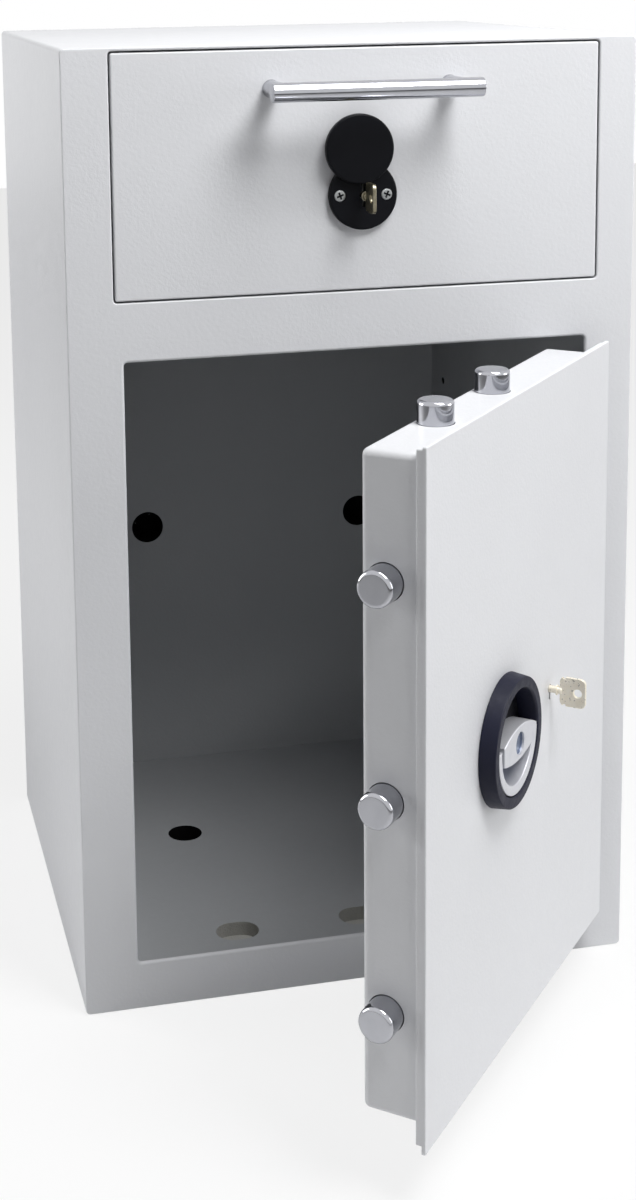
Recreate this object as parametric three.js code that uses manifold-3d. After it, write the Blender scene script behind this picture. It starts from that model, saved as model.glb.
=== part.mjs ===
// Drop safe: a barrier-filled steel body with a deposit drawer above a hinged door.
// Millimetres, +Z up. The origin is the middle of the footprint on the floor, and the front looks along -Y.
// Every piece is drawn with the front face of the body at y = 0, and the whole is then moved back by half
// the depth.
import * as THREE from "three";
import { mergeVertices } from "three/addons/utils/BufferGeometryUtils.js";
import Module from "manifold-3d";

// Body
const bodyWidth = 500;
const bodyDepth = 450;
const bodyHeight = 840;
const bodySheet = 3;
const bodyCornerRadius = 4;
const seat = 0.3;
const overrun = 20;

// Door opening and safe compartment
const doorStileLeft = 47;
const doorStileRight = 44;
const doorSill = 43;
const backWall = 34;
const linerSheet = 2.5;
const openingCornerRadius = 3;

// Drawer bay
const bayStileLeft = 39.5;
const bayStileRight = 33.5;
const bayOpeningHeight = 207.5;
const railHeight = 50.5;

// Drop opening between the bay and the safe compartment
const dropSideGap = 8;
const dropLength = 180;
const dropFromBack = 31;
const chuteWall = 2;

// Baffle against fishing, under the drop opening
const baffleWidth = 330;
const baffleSheet = 3;
const baffleReach = 95;
const baffleDrop = 56;
const baffleFlange = 28;
const baffleToothPitch = 36;
const baffleToothDepth = 16;

// Anchor holes in the floor and the back
const anchorRadius = 16.8;
const anchorOuterRadius = 9;
const anchorSpacing = 235;
const anchorCentreX = 3;
const floorAnchorFromBack = 181;
const backAnchorHeight = 308;

// Shelf-support holes in the liner's side walls
const shelfHoleRadius = 2.6;
const shelfHolePitch = 33;
const shelfHoleBelowCeiling = 122;
const shelfHoleCount = 4;
const shelfHoleFront = 90;
const shelfHoleFromBack = 38;

// Door leaf
const doorGap = 2;
const plateThickness = 8;
const plateSkin = 3;
const plateBevel = 4;
const panInsetFree = 6;
const panInsetHinge = 21;
const panInsetTop = 9;
const panInsetBottom = 23;
const panDepth = 44;
const panWall = 2.5;
const panEdgeRadius = 5;
const panRearFlange = 15;
const coverSheet = 2;
const coverInset = 10;
const doorRestAngle = THREE.MathUtils.degToRad(48.5);

// Door hinges: a swan-neck arm swings on a pin behind the right stile
const hingePinInset = 17;
const hingePinDepth = 10;
const hingePinRadius = 4;
const hingeRunning = 0.35;
const hingeEyeWall = 2.2;
const hingeArmHeight = 16;
const hingeArmWidth = 8;
const hingeNeckReach = 38;
const hingeFootHeight = 50;
const hingeFootSheet = 4.7;
const hingeFootInset = 6;
const hingeLugHeight = 6;
const hingeLugGap = 0.5;
const hingeLugDepth = 34;
const hingePocketDepth = 62;
const hingePocketMargin = 3;
const hingeFromEnd = 99;

// Round bolts on three sides of the door
const boltRadius = 14;
const boltChamfer = 1.5;
const boltDepth = 33;
const boltThrow = 20;
const boltRunning = 0.6;
const boltSocket = 1.8;
const sideBoltFromEnd = 81;
const endBoltPitch = 115;
const endBoltEntry = 9;
const boltSlotWidth = 39;
const boltSlotDepth = 31;
const boltPocket = 14;

// Bars that carry the bolts
const barThickness = 8;
const barWidth = 10;
const sideBarInset = 45;
const endBarInset = 60;
const barOverhang = 19;
const linkThickness = 3;
const linkGap = 1;
const guideThickness = 6;
const guideMargin = 34;

// Turning handle
const handleX = -49;
const handleBelowMiddle = 3;
const rimRadius = 52.5;
const rimHeight = 13.3;
const rimDraft = 1.5;
const rimEdgeRadius = 1;
const rimMouthRadius = 2;
const cupRadius = 42;
const cupWall = 2;
const cupBottom = 2;
const cupReach = 7.5;
const gripDiscThickness = 2.5;
const gripClearance = 0.8;
const gripBarFront = 13;
const gripBarShift = 2;
const gripBarRise = 12.2;
const gripBarTopRadius = 80;
const gripBarDip = 15;
const gripBarBottomRadius = 100;
const gripBarReach = 29.5;
const gripDimpleShift = 3.5;
const gripDimpleDrop = 2;
const gripDimpleRadius = 9;
const gripDimpleDepth = 2.6;
const gripRingWidth = 8;
const gripRingRise = 5;
const spindleRadius = 6;
const camRadius = 23;
const camFront = 11;
const camThickness = 4;
const camPinRadius = 3;
const camPinClearance = 1;

// Door lock with its key
const doorKeyX = 59;
const lockCaseWidth = 62;
const lockCaseAbove = 45;
const lockCaseBelow = 60;
const lockCaseThickness = 20;
const hardPlateThickness = 3;
const hardPlateMargin = 8;
const lockBoreRadius = 7;
const lockBoltWidth = 12;
const lockBoltThickness = 12;
const lockBoltLength = 24;
const lockBoltShow = 8;
const lockBoltThrow = 14;
const lockBoltRunning = 0.5;
const lockLugWidth = 5;
const lockLugGap = 2;
const lockArmWidth = 12;
const lockArmRise = 4;

// Keys
const keyShankRadius = 3;
const keyHoleClearance = 0.6;
const keyBowThickness = 3;
const keyBowWidth = 22;
const keyBowHeight = 25;
const keyBowHoleRadius = 4.5;
const keyBowCorner = 7;
const keyCollarRadius = 4.2;
const keyCollarLength = 3;
const doorKeyBowGap = 9;
const doorKeyInside = 19;
const drawerKeyBowGap = 16;
const drawerKeyInside = 26;
const keyBitWidth = 5;
const keyBitThickness = 2;
const keyBitLength = 6;
const keySlotHeight = 13;
const keySlotWidth = 2.8;

// Drawer
const drawerGap = 1.5;
const drawerSkin = 3;
const drawerPanelDepth = 20;
const drawerReturn = 2;
const traySheet = 1.5;
const trayFromBack = 64;
const trayFloorRise = 45;
const traySideHeight = 137;
const trayRearHeight = 75;
const traySideGap = 16.5;

// Flap in the tray floor, which tips over the drop opening
const flapWidth = 284;
const flapLength = 158;
const flapBackGap = 4;
const flapClearance = 1;
const flapAngle = THREE.MathUtils.degToRad(26);
const flapPinRadius = 2.5;
const flapPinRunning = 0.3;
const flapEyeWall = 1.5;
const flapEarWidth = 4;

// Drawer runners
const runnerHeight = 38;
const runnerRise = 46;
const runnerDepth = 11.5;
const runnerWall = 2;
const runnerRunning = 0.5;
const runnerFront = 22;
const runnerFromBack = 12;
const slideFront = 24;
const slideBackGap = 6;

// Drawer bar handle
const pullLength = 179;
const pullCentres = 155;
const pullRadius = 8;
const pullReach = 50;
const pullPostRadius = 7.2;
const pullBelowTop = 34;

// Drawer lock rose, swinging cover, lock and strike
const roseRadius = 29.5;
const roseThickness = 6;
const roseEdge = 1.5;
const roseBelowTop = 125;
const roseScrewSpacing = 41;
const roseScrewRadius = 4.8;
const roseScrewSink = 2.6;
const roseScrewLength = 9;
const roseScrewShank = 2;
const screwSlotWidth = 1.2;
const screwSlotDepth = 1;
const coverPivotRise = 20;
const coverThickness = 5.5;
const coverGap = 0.7;
const coverStudRadius = 2.5;
const coverStudLength = 4.5;
const coverRestAngle = THREE.MathUtils.degToRad(167);
const drawerLockWidth = 60;
const drawerLockAbove = 43;
const drawerLockBelow = 40;
const drawerLockBack = 44;
const drawerBoltWidth = 16;
const drawerBoltThickness = 10;
const drawerBoltFront = 28;
const drawerBoltLength = 40;
const drawerBoltShow = 2;
const drawerBoltThrow = 12;
const strikeFront = 25;
const strikeFoot = 21;
const strikeFlange = 26;
const strikeWidth = 46;
const strikeSheet = 4;
const strikeAboveBolt = 5;

// Facets of round shapes
const roundSteps = 32;
const largeSteps = 96;
const smallSteps = 16;
const holeSteps = 10;
const bevelSteps = 3;

// Finishes
const lightGrey = new THREE.MeshStandardMaterial({ color: 0xd3d4d1, roughness: 0.6, metalness: 0.1 });
const innerGrey = new THREE.MeshStandardMaterial({ color: 0xc9cbc9, roughness: 0.65, metalness: 0.1 });
const barrierFill = new THREE.MeshStandardMaterial({ color: 0x9a978f, roughness: 0.95, metalness: 0 });
const brightSteel = new THREE.MeshStandardMaterial({ color: 0xc8cacc, roughness: 0.2, metalness: 1 });
const zincSteel = new THREE.MeshStandardMaterial({ color: 0xa9acad, roughness: 0.45, metalness: 0.9 });
const blackPlastic = new THREE.MeshStandardMaterial({ color: 0x17181a, roughness: 0.5, metalness: 0 });
const satinSilver = new THREE.MeshStandardMaterial({ color: 0xb4b7ba, roughness: 0.35, metalness: 0.9 });
const keyBrass = new THREE.MeshStandardMaterial({ color: 0xb5aa8a, roughness: 0.4, metalness: 0.9 });

// Worked-out places
const doorLeft = -bodyWidth / 2 + doorStileLeft;
const doorRight = bodyWidth / 2 - doorStileRight;
const doorTop = bodyHeight - bodySheet - bayOpeningHeight - railHeight;
const doorMiddle = (doorSill + doorTop) / 2;
const bayLeft = -bodyWidth / 2 + bayStileLeft;
const bayRight = bodyWidth / 2 - bayStileRight;
const bayCentre = (bayLeft + bayRight) / 2;
const bayTop = bodyHeight - bodySheet;
const bayFloor = bayTop - bayOpeningHeight;
const shellInside = bodyWidth / 2 - bodySheet;
const shellBack = bodyDepth - bodySheet;
const safeDepth = bodyDepth - backWall;
const linerFront = bodySheet + seat;
const linerLeft = doorLeft - linerSheet;
const linerRight = doorRight + linerSheet;
const linerTop = doorTop + linerSheet;
const linerFloor = doorSill - linerSheet;
const linerBack = safeDepth + linerSheet;
const dropBack = safeDepth - dropFromBack;
const dropFront = dropBack - dropLength;
const dropWidth = flapWidth + 2 * dropSideGap;
const dropLeft = bayCentre - dropWidth / 2;
const dropRight = bayCentre + dropWidth / 2;
const floorAnchorDepth = safeDepth - floorAnchorFromBack;
const anchorPlaces = [anchorCentreX - anchorSpacing / 2, anchorCentreX + anchorSpacing / 2];

const hingeX = bodyWidth / 2 - hingePinInset;
const hingeHeights = { upper: doorTop - hingeFromEnd, lower: doorSill + hingeFromEnd };

const plateLeft = doorLeft + doorGap;
const plateRight = doorRight - doorGap;
const plateTop = doorTop - doorGap;
const plateBottom = doorSill + doorGap;
const panLeft = doorLeft + panInsetFree;
const panRight = doorRight - panInsetHinge;
const panTop = doorTop - panInsetTop;
const panBottom = doorSill + panInsetBottom;
const panFront = plateThickness + seat;
const panBack = plateThickness + panDepth;

const handleZ = doorMiddle - handleBelowMiddle;
const sideBoltPitch = doorMiddle - panBottom - sideBoltFromEnd;
const sideBoltHeights = {
  upper: doorMiddle + sideBoltPitch,
  middle: doorMiddle,
  lower: doorMiddle - sideBoltPitch,
};
const endBoltPlaces = { left: handleX - endBoltPitch / 2, right: handleX + endBoltPitch / 2 };
const sideBoltTip = panLeft - boltThrow;
const topBoltTip = doorTop + endBoltEntry;
const bottomBoltTip = doorSill - endBoltEntry;
const sideBarX = panLeft + sideBarInset;
const topBarZ = panTop - endBarInset;
const bottomBarZ = panBottom + endBarInset;
const camBack = camFront + camThickness;
const camPinReach = boltThrow / Math.SQRT2;
const camPinOffset = boltThrow / 2;
const camSlotReach = camPinRadius + camPinClearance;
const linkLayer = (index) => camBack + linkGap + index * (linkThickness + linkGap);

const lockCaseFront = panFront + hardPlateThickness + seat;
const lockCaseTop = doorMiddle + lockCaseAbove;
const lockBoltTip = lockCaseTop + lockBoltShow;
const lockBoltFront = lockCaseFront + (lockCaseThickness - lockBoltThickness) / 2;
const lockBoltLeft = doorKeyX - lockBoltWidth / 2;

const drawerLeft = bayLeft + drawerGap;
const drawerRight = bayRight - drawerGap;
const drawerTop = bayTop - drawerGap;
const drawerBottom = bayFloor + drawerGap;
const trayLeft = bayLeft + traySideGap;
const trayRight = bayRight - traySideGap;
const trayFront = drawerPanelDepth + seat;
const trayDepth = safeDepth - trayFromBack;
const flapBack = trayDepth - flapBackGap;
const flapFront = flapBack - flapLength;
const slideBack = trayDepth - slideBackGap;
const runnerBack = safeDepth - runnerFromBack;
const trayFloor = bayFloor + trayFloorRise;
const flapPinZ = trayFloor - traySheet - flapEyeWall - flapPinRadius;
const flapPinY = flapFront - flapPinRadius - flapEyeWall;
const roseZ = bayTop - roseBelowTop;
const drawerLockTop = roseZ + drawerLockAbove;
const drawerBoltTip = drawerLockTop + drawerBoltShow;
const strikeZ = drawerBoltTip + strikeAboveBolt;
const pullZ = bayTop - pullBelowTop;

const wasm = await Module();
wasm.setup();

// A closed three.js geometry as a solid that can be joined and cut.
function solid(geometry) {
  geometry.deleteAttribute("normal");
  geometry.deleteAttribute("uv");
  const merged = mergeVertices(geometry);
  return new wasm.Manifold(
    new wasm.Mesh({
      numProp: 3,
      vertProperties: merged.attributes.position.array,
      triVerts: new Uint32Array(merged.index.array),
    }),
  );
}

function box(x0, x1, y0, y1, z0, z1) {
  const block = new THREE.BoxGeometry(x1 - x0, y1 - y0, z1 - z0);
  return solid(block.translate((x0 + x1) / 2, (y0 + y1) / 2, (z0 + z1) / 2));
}

function join(first, ...others) {
  return others.reduce((whole, piece) => whole.add(piece), first);
}

function cut(first, ...others) {
  return others.reduce((whole, piece) => whole.subtract(piece), first);
}

function outline(points) {
  return new THREE.Shape(points.map(([u, v]) => new THREE.Vector2(u, v)));
}

function roundedOutline(u0, u1, v0, v1, radius, Kind = THREE.Shape) {
  const shape = new Kind();
  shape.moveTo(u0 + radius, v0);
  shape.lineTo(u1 - radius, v0);
  shape.absarc(u1 - radius, v0 + radius, radius, -Math.PI / 2, 0);
  shape.lineTo(u1, v1 - radius);
  shape.absarc(u1 - radius, v1 - radius, radius, 0, Math.PI / 2);
  shape.lineTo(u0 + radius, v1);
  shape.absarc(u0 + radius, v1 - radius, radius, Math.PI / 2, Math.PI);
  shape.lineTo(u0, v0 + radius);
  shape.absarc(u0 + radius, v0 + radius, radius, Math.PI, (3 * Math.PI) / 2);
  return shape;
}

// Extrudes an outline drawn in (x, z) from y0 to y1.
function extrudeY(shape, y0, y1, options = {}) {
  const geometry = new THREE.ExtrudeGeometry(shape, {
    depth: y1 - y0,
    bevelEnabled: false,
    curveSegments: bevelSteps,
    ...options,
  });
  return solid(geometry.rotateX(Math.PI / 2).translate(0, y1, 0));
}

// Extrudes an outline drawn in (y, z) from x0 to x1.
function extrudeX(shape, x0, x1) {
  const settings = { depth: x1 - x0, bevelEnabled: false, curveSegments: smallSteps };
  const geometry = new THREE.ExtrudeGeometry(shape, settings);
  const turn = new THREE.Matrix4().makeBasis(
    new THREE.Vector3(0, 1, 0),
    new THREE.Vector3(0, 0, 1),
    new THREE.Vector3(1, 0, 0),
  );
  return solid(geometry.applyMatrix4(turn).translate(x0, 0, 0));
}

function rodX(radius, x0, x1, y, z, steps = smallSteps) {
  const rod = new THREE.CylinderGeometry(radius, radius, x1 - x0, steps);
  return solid(rod.rotateZ(Math.PI / 2).translate((x0 + x1) / 2, y, z));
}

function rodY(radius, y0, y1, x, z, steps = smallSteps) {
  return solid(new THREE.CylinderGeometry(radius, radius, y1 - y0, steps).translate(x, (y0 + y1) / 2, z));
}

function rodZ(radius, z0, z1, x, y, steps = smallSteps) {
  const rod = new THREE.CylinderGeometry(radius, radius, z1 - z0, steps);
  return solid(rod.rotateX(Math.PI / 2).translate(x, y, (z0 + z1) / 2));
}

// Turns a (radius, y) profile round the Y axis through x, z.
function turned(profile, x, z, steps = roundSteps) {
  const points = profile.map(([radius, y]) => new THREE.Vector2(radius, y));
  return solid(new THREE.LatheGeometry(points, steps).translate(x, 0, z));
}

function put(group, name, shape, material, origin = [0, 0, 0]) {
  const data = shape.getMesh();
  const geometry = new THREE.BufferGeometry();
  const places = new Float32Array(data.vertProperties);
  geometry.setAttribute("position", new THREE.BufferAttribute(places, 3));
  geometry.setIndex(new THREE.BufferAttribute(new Uint32Array(data.triVerts), 1));
  geometry.translate(-origin[0], -origin[1], -origin[2]);
  geometry.computeVertexNormals();
  const mesh = new THREE.Mesh(geometry, material);
  mesh.name = name;
  group.add(mesh);
}

// A bolt with a chamfered tip, drawn up from its root along +Z and then turned to its direction.
function chamferedBolt(length) {
  const profile = [
    [0, 0],
    [boltRadius, 0],
    [boltRadius, length - boltChamfer],
    [boltRadius - boltChamfer, length],
    [0, length],
  ].map(([radius, height]) => new THREE.Vector2(radius, height));
  return new THREE.LatheGeometry(profile, roundSteps).rotateX(Math.PI / 2);
}

const safe = new THREE.Group();
safe.position.y = -bodyDepth / 2;

// Anchor holes: vertical ones through the floor, and level ones through the back.
function floorAnchors(radius, z0, z1) {
  return anchorPlaces.map((x) => rodZ(radius, z0 - overrun, z1 + overrun, x, floorAnchorDepth));
}

function backAnchors(radius, y0, y1) {
  return anchorPlaces.map((x) => rodY(radius, y0 - overrun, y1 + overrun, x, backAnchorHeight));
}

// Space behind the right stile in which a hinge arm swings.
function hingePockets(x0, x1) {
  const half = hingeArmHeight / 2 + hingeLugGap + hingeLugHeight + hingePocketMargin;
  return Object.values(hingeHeights).map((z) => box(x0, x1, 0, hingePocketDepth, z - half, z + half));
}

// Round sockets beside the door for the side bolts, and slots above and below it for the end bolts.
function sideSockets(x0, x1) {
  const radius = boltRadius + boltSocket;
  return Object.values(sideBoltHeights).map((z) => rodX(radius, x0, x1, boltDepth, z, roundSteps));
}

function endSlots(z0, z1) {
  return Object.values(endBoltPlaces).map((x) =>
    box(
      x - boltSlotWidth / 2,
      x + boltSlotWidth / 2,
      boltDepth - boltSlotDepth / 2,
      boltDepth + boltSlotDepth / 2,
      z0,
      z1,
    ),
  );
}

function dropCut(margin, z0, z1) {
  return box(dropLeft - margin, dropRight + margin, dropFront - margin, dropBack + margin, z0, z1);
}

function buildShell() {
  const tube = roundedOutline(-bodyWidth / 2, bodyWidth / 2, 0, bodyHeight, bodyCornerRadius);
  const innerCorner = bodyCornerRadius - bodySheet;
  tube.holes.push(roundedOutline(-shellInside, shellInside, bodySheet, bayTop, innerCorner, THREE.Path));
  const shell = extrudeY(tube, linerFront, shellBack - seat);
  put(safe, "outer_shell", cut(shell, ...floorAnchors(anchorOuterRadius, 0, bodySheet)), lightGrey);

  const face = roundedOutline(-bodyWidth / 2, bodyWidth / 2, 0, bodyHeight, bodyCornerRadius);
  face.holes.push(
    roundedOutline(doorLeft, doorRight, doorSill, doorTop, openingCornerRadius, THREE.Path),
    roundedOutline(bayLeft, bayRight, bayFloor, bayTop, openingCornerRadius, THREE.Path),
  );
  put(safe, "front_frame", extrudeY(face, 0, bodySheet), lightGrey);

  const rear = roundedOutline(-bodyWidth / 2, bodyWidth / 2, 0, bodyHeight, bodyCornerRadius);
  const rearPlate = extrudeY(rear, shellBack, bodyDepth);
  put(safe, "back_plate", cut(rearPlate, ...backAnchors(anchorOuterRadius, shellBack, bodyDepth)), lightGrey);
}

function buildLiners() {
  const shelfHoles = [];
  for (let row = 0; row < shelfHoleCount; row += 1) {
    for (const y of [shelfHoleFront, safeDepth - shelfHoleFromBack]) {
      const z = doorTop - shelfHoleBelowCeiling - row * shelfHolePitch;
      shelfHoles.push(rodX(shelfHoleRadius, linerLeft - seat, linerRight + seat, y, z, holeSteps));
    }
  }
  const liner = cut(
    box(linerLeft, linerRight, linerFront, linerBack, linerFloor, linerTop),
    box(doorLeft, doorRight, 0, safeDepth, doorSill, doorTop),
    dropCut(0, doorMiddle, linerTop + overrun),
    ...sideSockets(linerLeft - seat, doorLeft + seat),
    ...endSlots(linerFloor - seat, doorSill + seat),
    ...endSlots(doorTop - seat, linerTop + seat),
    ...hingePockets(doorRight - seat, linerRight + seat),
    ...floorAnchors(anchorRadius, linerFloor, doorSill),
    ...backAnchors(anchorRadius, safeDepth, linerBack),
    ...shelfHoles,
  );
  put(safe, "safe_liner", liner, innerGrey);

  const bay = cut(
    box(
      bayLeft - linerSheet,
      bayRight + linerSheet,
      linerFront,
      linerBack,
      bayFloor - linerSheet,
      bayTop - seat,
    ),
    box(bayLeft, bayRight, 0, safeDepth, bayFloor, bayTop),
    dropCut(0, bayFloor - overrun, bayFloor + seat),
  );
  put(safe, "bay_liner", bay, innerGrey);

  const chuteTop = bayFloor - linerSheet - seat;
  const chute = cut(dropCut(chuteWall, linerTop + seat, chuteTop), dropCut(0, linerTop, bayFloor));
  put(safe, "drop_chute", chute, zincSteel);
}

// Barrier fill between the outer shell and the liners.
function buildFill() {
  const bottom = bodySheet + seat;
  const top = bayTop - seat;
  const rear = shellBack - seat;
  const step = bayFloor - linerSheet - seat;
  const sideFill = (outer, safeSide, baySide) =>
    extrudeY(
      outline([
        [outer, bottom],
        [safeSide, bottom],
        [safeSide, step],
        [baySide, step],
        [baySide, top],
        [outer, top],
      ]),
      linerFront,
      rear,
    );
  const leftOuter = -shellInside + seat;
  const rightOuter = shellInside - seat;
  const leftInner = linerLeft - seat;
  const rightInner = linerRight + seat;
  const left = sideFill(leftOuter, leftInner, bayLeft - linerSheet - seat);
  put(safe, "fill_left", cut(left, ...sideSockets(leftInner - boltPocket, leftInner + seat)), barrierFill);
  const right = sideFill(rightOuter, rightInner, bayRight + linerSheet + seat);
  put(safe, "fill_right", cut(right, ...hingePockets(rightInner - seat, rightOuter + overrun)), barrierFill);

  const betweenLeft = leftInner + seat;
  const betweenRight = rightInner - seat;
  const floorTop = linerFloor - seat;
  const floorFill = cut(
    box(betweenLeft, betweenRight, linerFront, rear, bottom, floorTop),
    ...endSlots(floorTop - boltPocket, floorTop + seat),
    ...floorAnchors(anchorRadius, bottom, floorTop),
  );
  put(safe, "fill_floor", floorFill, barrierFill);

  const backFill = box(betweenLeft, betweenRight, linerBack + seat, rear, floorTop + seat, step);
  put(safe, "fill_back", cut(backFill, ...backAnchors(anchorRadius, linerBack, rear)), barrierFill);

  const ceiling = linerTop + seat;
  const middleFill = cut(
    box(betweenLeft, betweenRight, linerFront, linerBack, ceiling, step),
    dropCut(chuteWall + seat, linerTop, bayFloor),
    ...endSlots(ceiling - seat, ceiling + boltPocket),
  );
  put(safe, "fill_middle", middleFill, barrierFill);

  const bayBackFill = box(bayLeft, bayRight, linerBack + seat, rear, step + seat, top);
  put(safe, "fill_bay_back", bayBackFill, barrierFill);
}

// A sloping plate with a toothed edge under the drop opening.
function buildBaffle() {
  const top = doorTop - seat;
  const front = dropFront - baffleFlange;
  const profile = outline([
    [front, top],
    [dropFront, top],
    [dropFront + baffleReach, top - baffleDrop],
    [dropFront + baffleReach, top - baffleDrop - baffleSheet],
    [dropFront, top - baffleSheet],
    [front, top - baffleSheet],
  ]);
  const left = bayCentre - baffleWidth / 2;
  const right = bayCentre + baffleWidth / 2;
  const gaps = [];
  for (let x = left + baffleToothPitch / 2; x + baffleToothPitch / 2 < right; x += baffleToothPitch) {
    const end = dropFront + baffleReach;
    const gapEnd = x + baffleToothPitch / 2;
    gaps.push(box(x, gapEnd, end - baffleToothDepth, end + seat, doorMiddle, top - baffleSheet));
  }
  put(safe, "drop_baffle", cut(extrudeX(profile, left, right), ...gaps), zincSteel);
}

function buildHingeBrackets() {
  for (const [name, z] of Object.entries(hingeHeights)) {
    const inner = hingeArmHeight / 2 + hingeLugGap;
    const outer = inner + hingeLugHeight;
    const wall = shellInside - seat;
    const left = hingeX - hingePinRadius - hingeEyeWall - hingeRunning;
    const front = linerFront;
    const back = front + hingeLugDepth;
    const bracket = join(
      box(left, wall, front, back, z + inner, z + outer),
      box(left, wall, front, back, z - outer, z - inner),
      box(wall - bodySheet, wall, front, back, z - outer, z + outer),
      rodZ(hingePinRadius, z - outer, z + outer, hingeX, hingePinDepth),
    );
    put(safe, `hinge_bracket_${name}`, bracket, zincSteel);
  }
}

function buildRunners(drawer) {
  const z0 = bayFloor + runnerRise;
  const z1 = z0 + runnerHeight;
  const sides = { left: [bayLeft + seat, 1], right: [bayRight - seat, -1] };
  for (const [name, [wall, inward]] of Object.entries(sides)) {
    const across = (near, far) => [wall + inward * near, wall + inward * far].sort((a, b) => a - b);
    const [c0, c1] = across(0, runnerDepth);
    const [g0, g1] = across(runnerWall, runnerDepth + overrun);
    const channel = cut(
      box(c0, c1, runnerFront, runnerBack, z0, z1),
      box(g0, g1, runnerFront - seat, runnerBack + seat, z0 + runnerWall, z1 - runnerWall),
    );
    put(safe, `runner_${name}`, channel, zincSteel);

    const [s0, s1] = across(runnerWall + runnerRunning, traySideGap - 2 * seat);
    const lift = runnerWall + runnerRunning;
    put(drawer, `slide_${name}`, box(s0, s1, slideFront, slideBack, z0 + lift, z1 - lift), brightSteel);
  }
}

function buildStrike() {
  const left = bayCentre - strikeWidth / 2;
  const right = bayCentre + strikeWidth / 2;
  const back = strikeFront + strikeFoot;
  const top = bayTop - seat;
  const hole = drawerBoltWidth / 2 + 2 * lockBoltRunning;
  const strike = cut(
    join(
      box(left, right, strikeFront, back, strikeZ, strikeZ + strikeSheet),
      box(left, right, back - strikeSheet, back, strikeZ, top),
      box(left, right, back - strikeSheet, back + strikeFlange, top - strikeSheet, top),
    ),
    box(
      bayCentre - hole,
      bayCentre + hole,
      drawerBoltFront - 2 * lockBoltRunning,
      drawerBoltFront + drawerBoltThickness + 2 * lockBoltRunning,
      strikeZ - seat,
      strikeZ + strikeSheet + seat,
    ),
  );
  put(safe, "drawer_strike", strike, zincSteel);
}

// Keyhole through a wall: a round hole with an upright slot across it.
function keyhole(x, z, y0, y1) {
  return join(
    rodY(keyShankRadius + keyHoleClearance, y0, y1, x, z),
    box(x - keySlotWidth / 2, x + keySlotWidth / 2, y0, y1, z - keySlotHeight / 2, z + keySlotHeight / 2),
  );
}

// A key standing in its lock: shank along y, upright bow in front, bits inside the lock.
function key(x, z, bowBack, inside) {
  const bowFront = bowBack - keyBowWidth;
  const bow = roundedOutline(bowFront, bowBack, z - keyBowHeight / 2, z + keyBowHeight / 2, keyBowCorner);
  const eye = new THREE.Path();
  eye.absarc((bowFront + bowBack) / 2, z, keyBowHoleRadius, 0, 2 * Math.PI);
  bow.holes.push(eye);
  const bitReach = keyShankRadius + keyBitWidth / 2;
  return join(
    extrudeX(bow, x - keyBowThickness / 2, x + keyBowThickness / 2),
    rodY(keyShankRadius, bowBack - keyBowThickness, inside, x, z),
    rodY(keyCollarRadius, bowBack - keyBowThickness / 2, bowBack + keyCollarLength, x, z),
    box(
      x - keyBitThickness / 2,
      x + keyBitThickness / 2,
      inside - keyBitLength,
      inside,
      z - bitReach,
      z + bitReach,
    ),
  );
}

// The door is drawn closed, and its group then turns about the hinge pins to where it stands open.
const hingeOrigin = [hingeX, hingePinDepth, 0];
const door = new THREE.Group();
door.position.set(...hingeOrigin);
door.rotation.z = doorRestAngle;
safe.add(door);

function putOnDoor(name, shape, material) {
  put(door, name, shape, material, hingeOrigin);
}

function doorPlate() {
  const front = box(plateLeft, plateRight, 0, plateSkin, plateBottom, plateTop);
  // The rear of the plate narrows by a bevel on all four sides.
  const taper = new THREE.BoxGeometry(
    plateRight - plateLeft,
    plateThickness - plateSkin,
    plateTop - plateBottom,
  );
  const corners = taper.attributes.position;
  for (let i = 0; i < corners.count; i += 1) {
    if (corners.getY(i) > 0) {
      corners.setX(i, corners.getX(i) - Math.sign(corners.getX(i)) * plateBevel);
      corners.setZ(i, corners.getZ(i) - Math.sign(corners.getZ(i)) * plateBevel);
    }
  }
  taper.translate((plateLeft + plateRight) / 2, (plateSkin + plateThickness) / 2, (plateBottom + plateTop) / 2);
  return cut(
    join(front, solid(taper)),
    rodY(cupRadius + cupWall + seat, -overrun, overrun, handleX, handleZ, roundSteps),
    keyhole(doorKeyX, doorMiddle, -overrun, overrun),
  );
}

function doorPan() {
  const rounded = roundedOutline(
    panLeft + panEdgeRadius,
    panRight - panEdgeRadius,
    panBottom + panEdgeRadius,
    panTop - panEdgeRadius,
    panEdgeRadius / 2,
  );
  const shell = extrudeY(rounded, panFront, panBack - panEdgeRadius, {
    bevelEnabled: true,
    bevelSize: panEdgeRadius,
    bevelThickness: panEdgeRadius,
    bevelSegments: bevelSteps,
  });
  const inside = box(
    panLeft + panWall,
    panRight - panWall,
    0,
    panBack - panWall,
    panBottom + panWall,
    panTop - panWall,
  );
  const access = box(
    panLeft + panWall + panRearFlange,
    panRight - panWall - panRearFlange,
    panFront,
    panBack + seat,
    panBottom + panWall + panRearFlange,
    panTop - panWall - panRearFlange,
  );
  const holeRadius = boltRadius + boltRunning;
  const sideHoles = Object.values(sideBoltHeights).map((z) =>
    rodX(holeRadius, panLeft - seat, panLeft + overrun, boltDepth, z, roundSteps),
  );
  const endHoles = Object.values(endBoltPlaces).flatMap((x) => [
    rodZ(holeRadius, panTop - overrun, panTop + seat, x, boltDepth, roundSteps),
    rodZ(holeRadius, panBottom - seat, panBottom + overrun, x, boltDepth, roundSteps),
  ]);
  const squareFront = box(panLeft, panRight, panFront, panBack + seat, panBottom, panTop);
  return cut(shell.intersect(squareFront), inside, access, ...sideHoles, ...endHoles);
}

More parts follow.
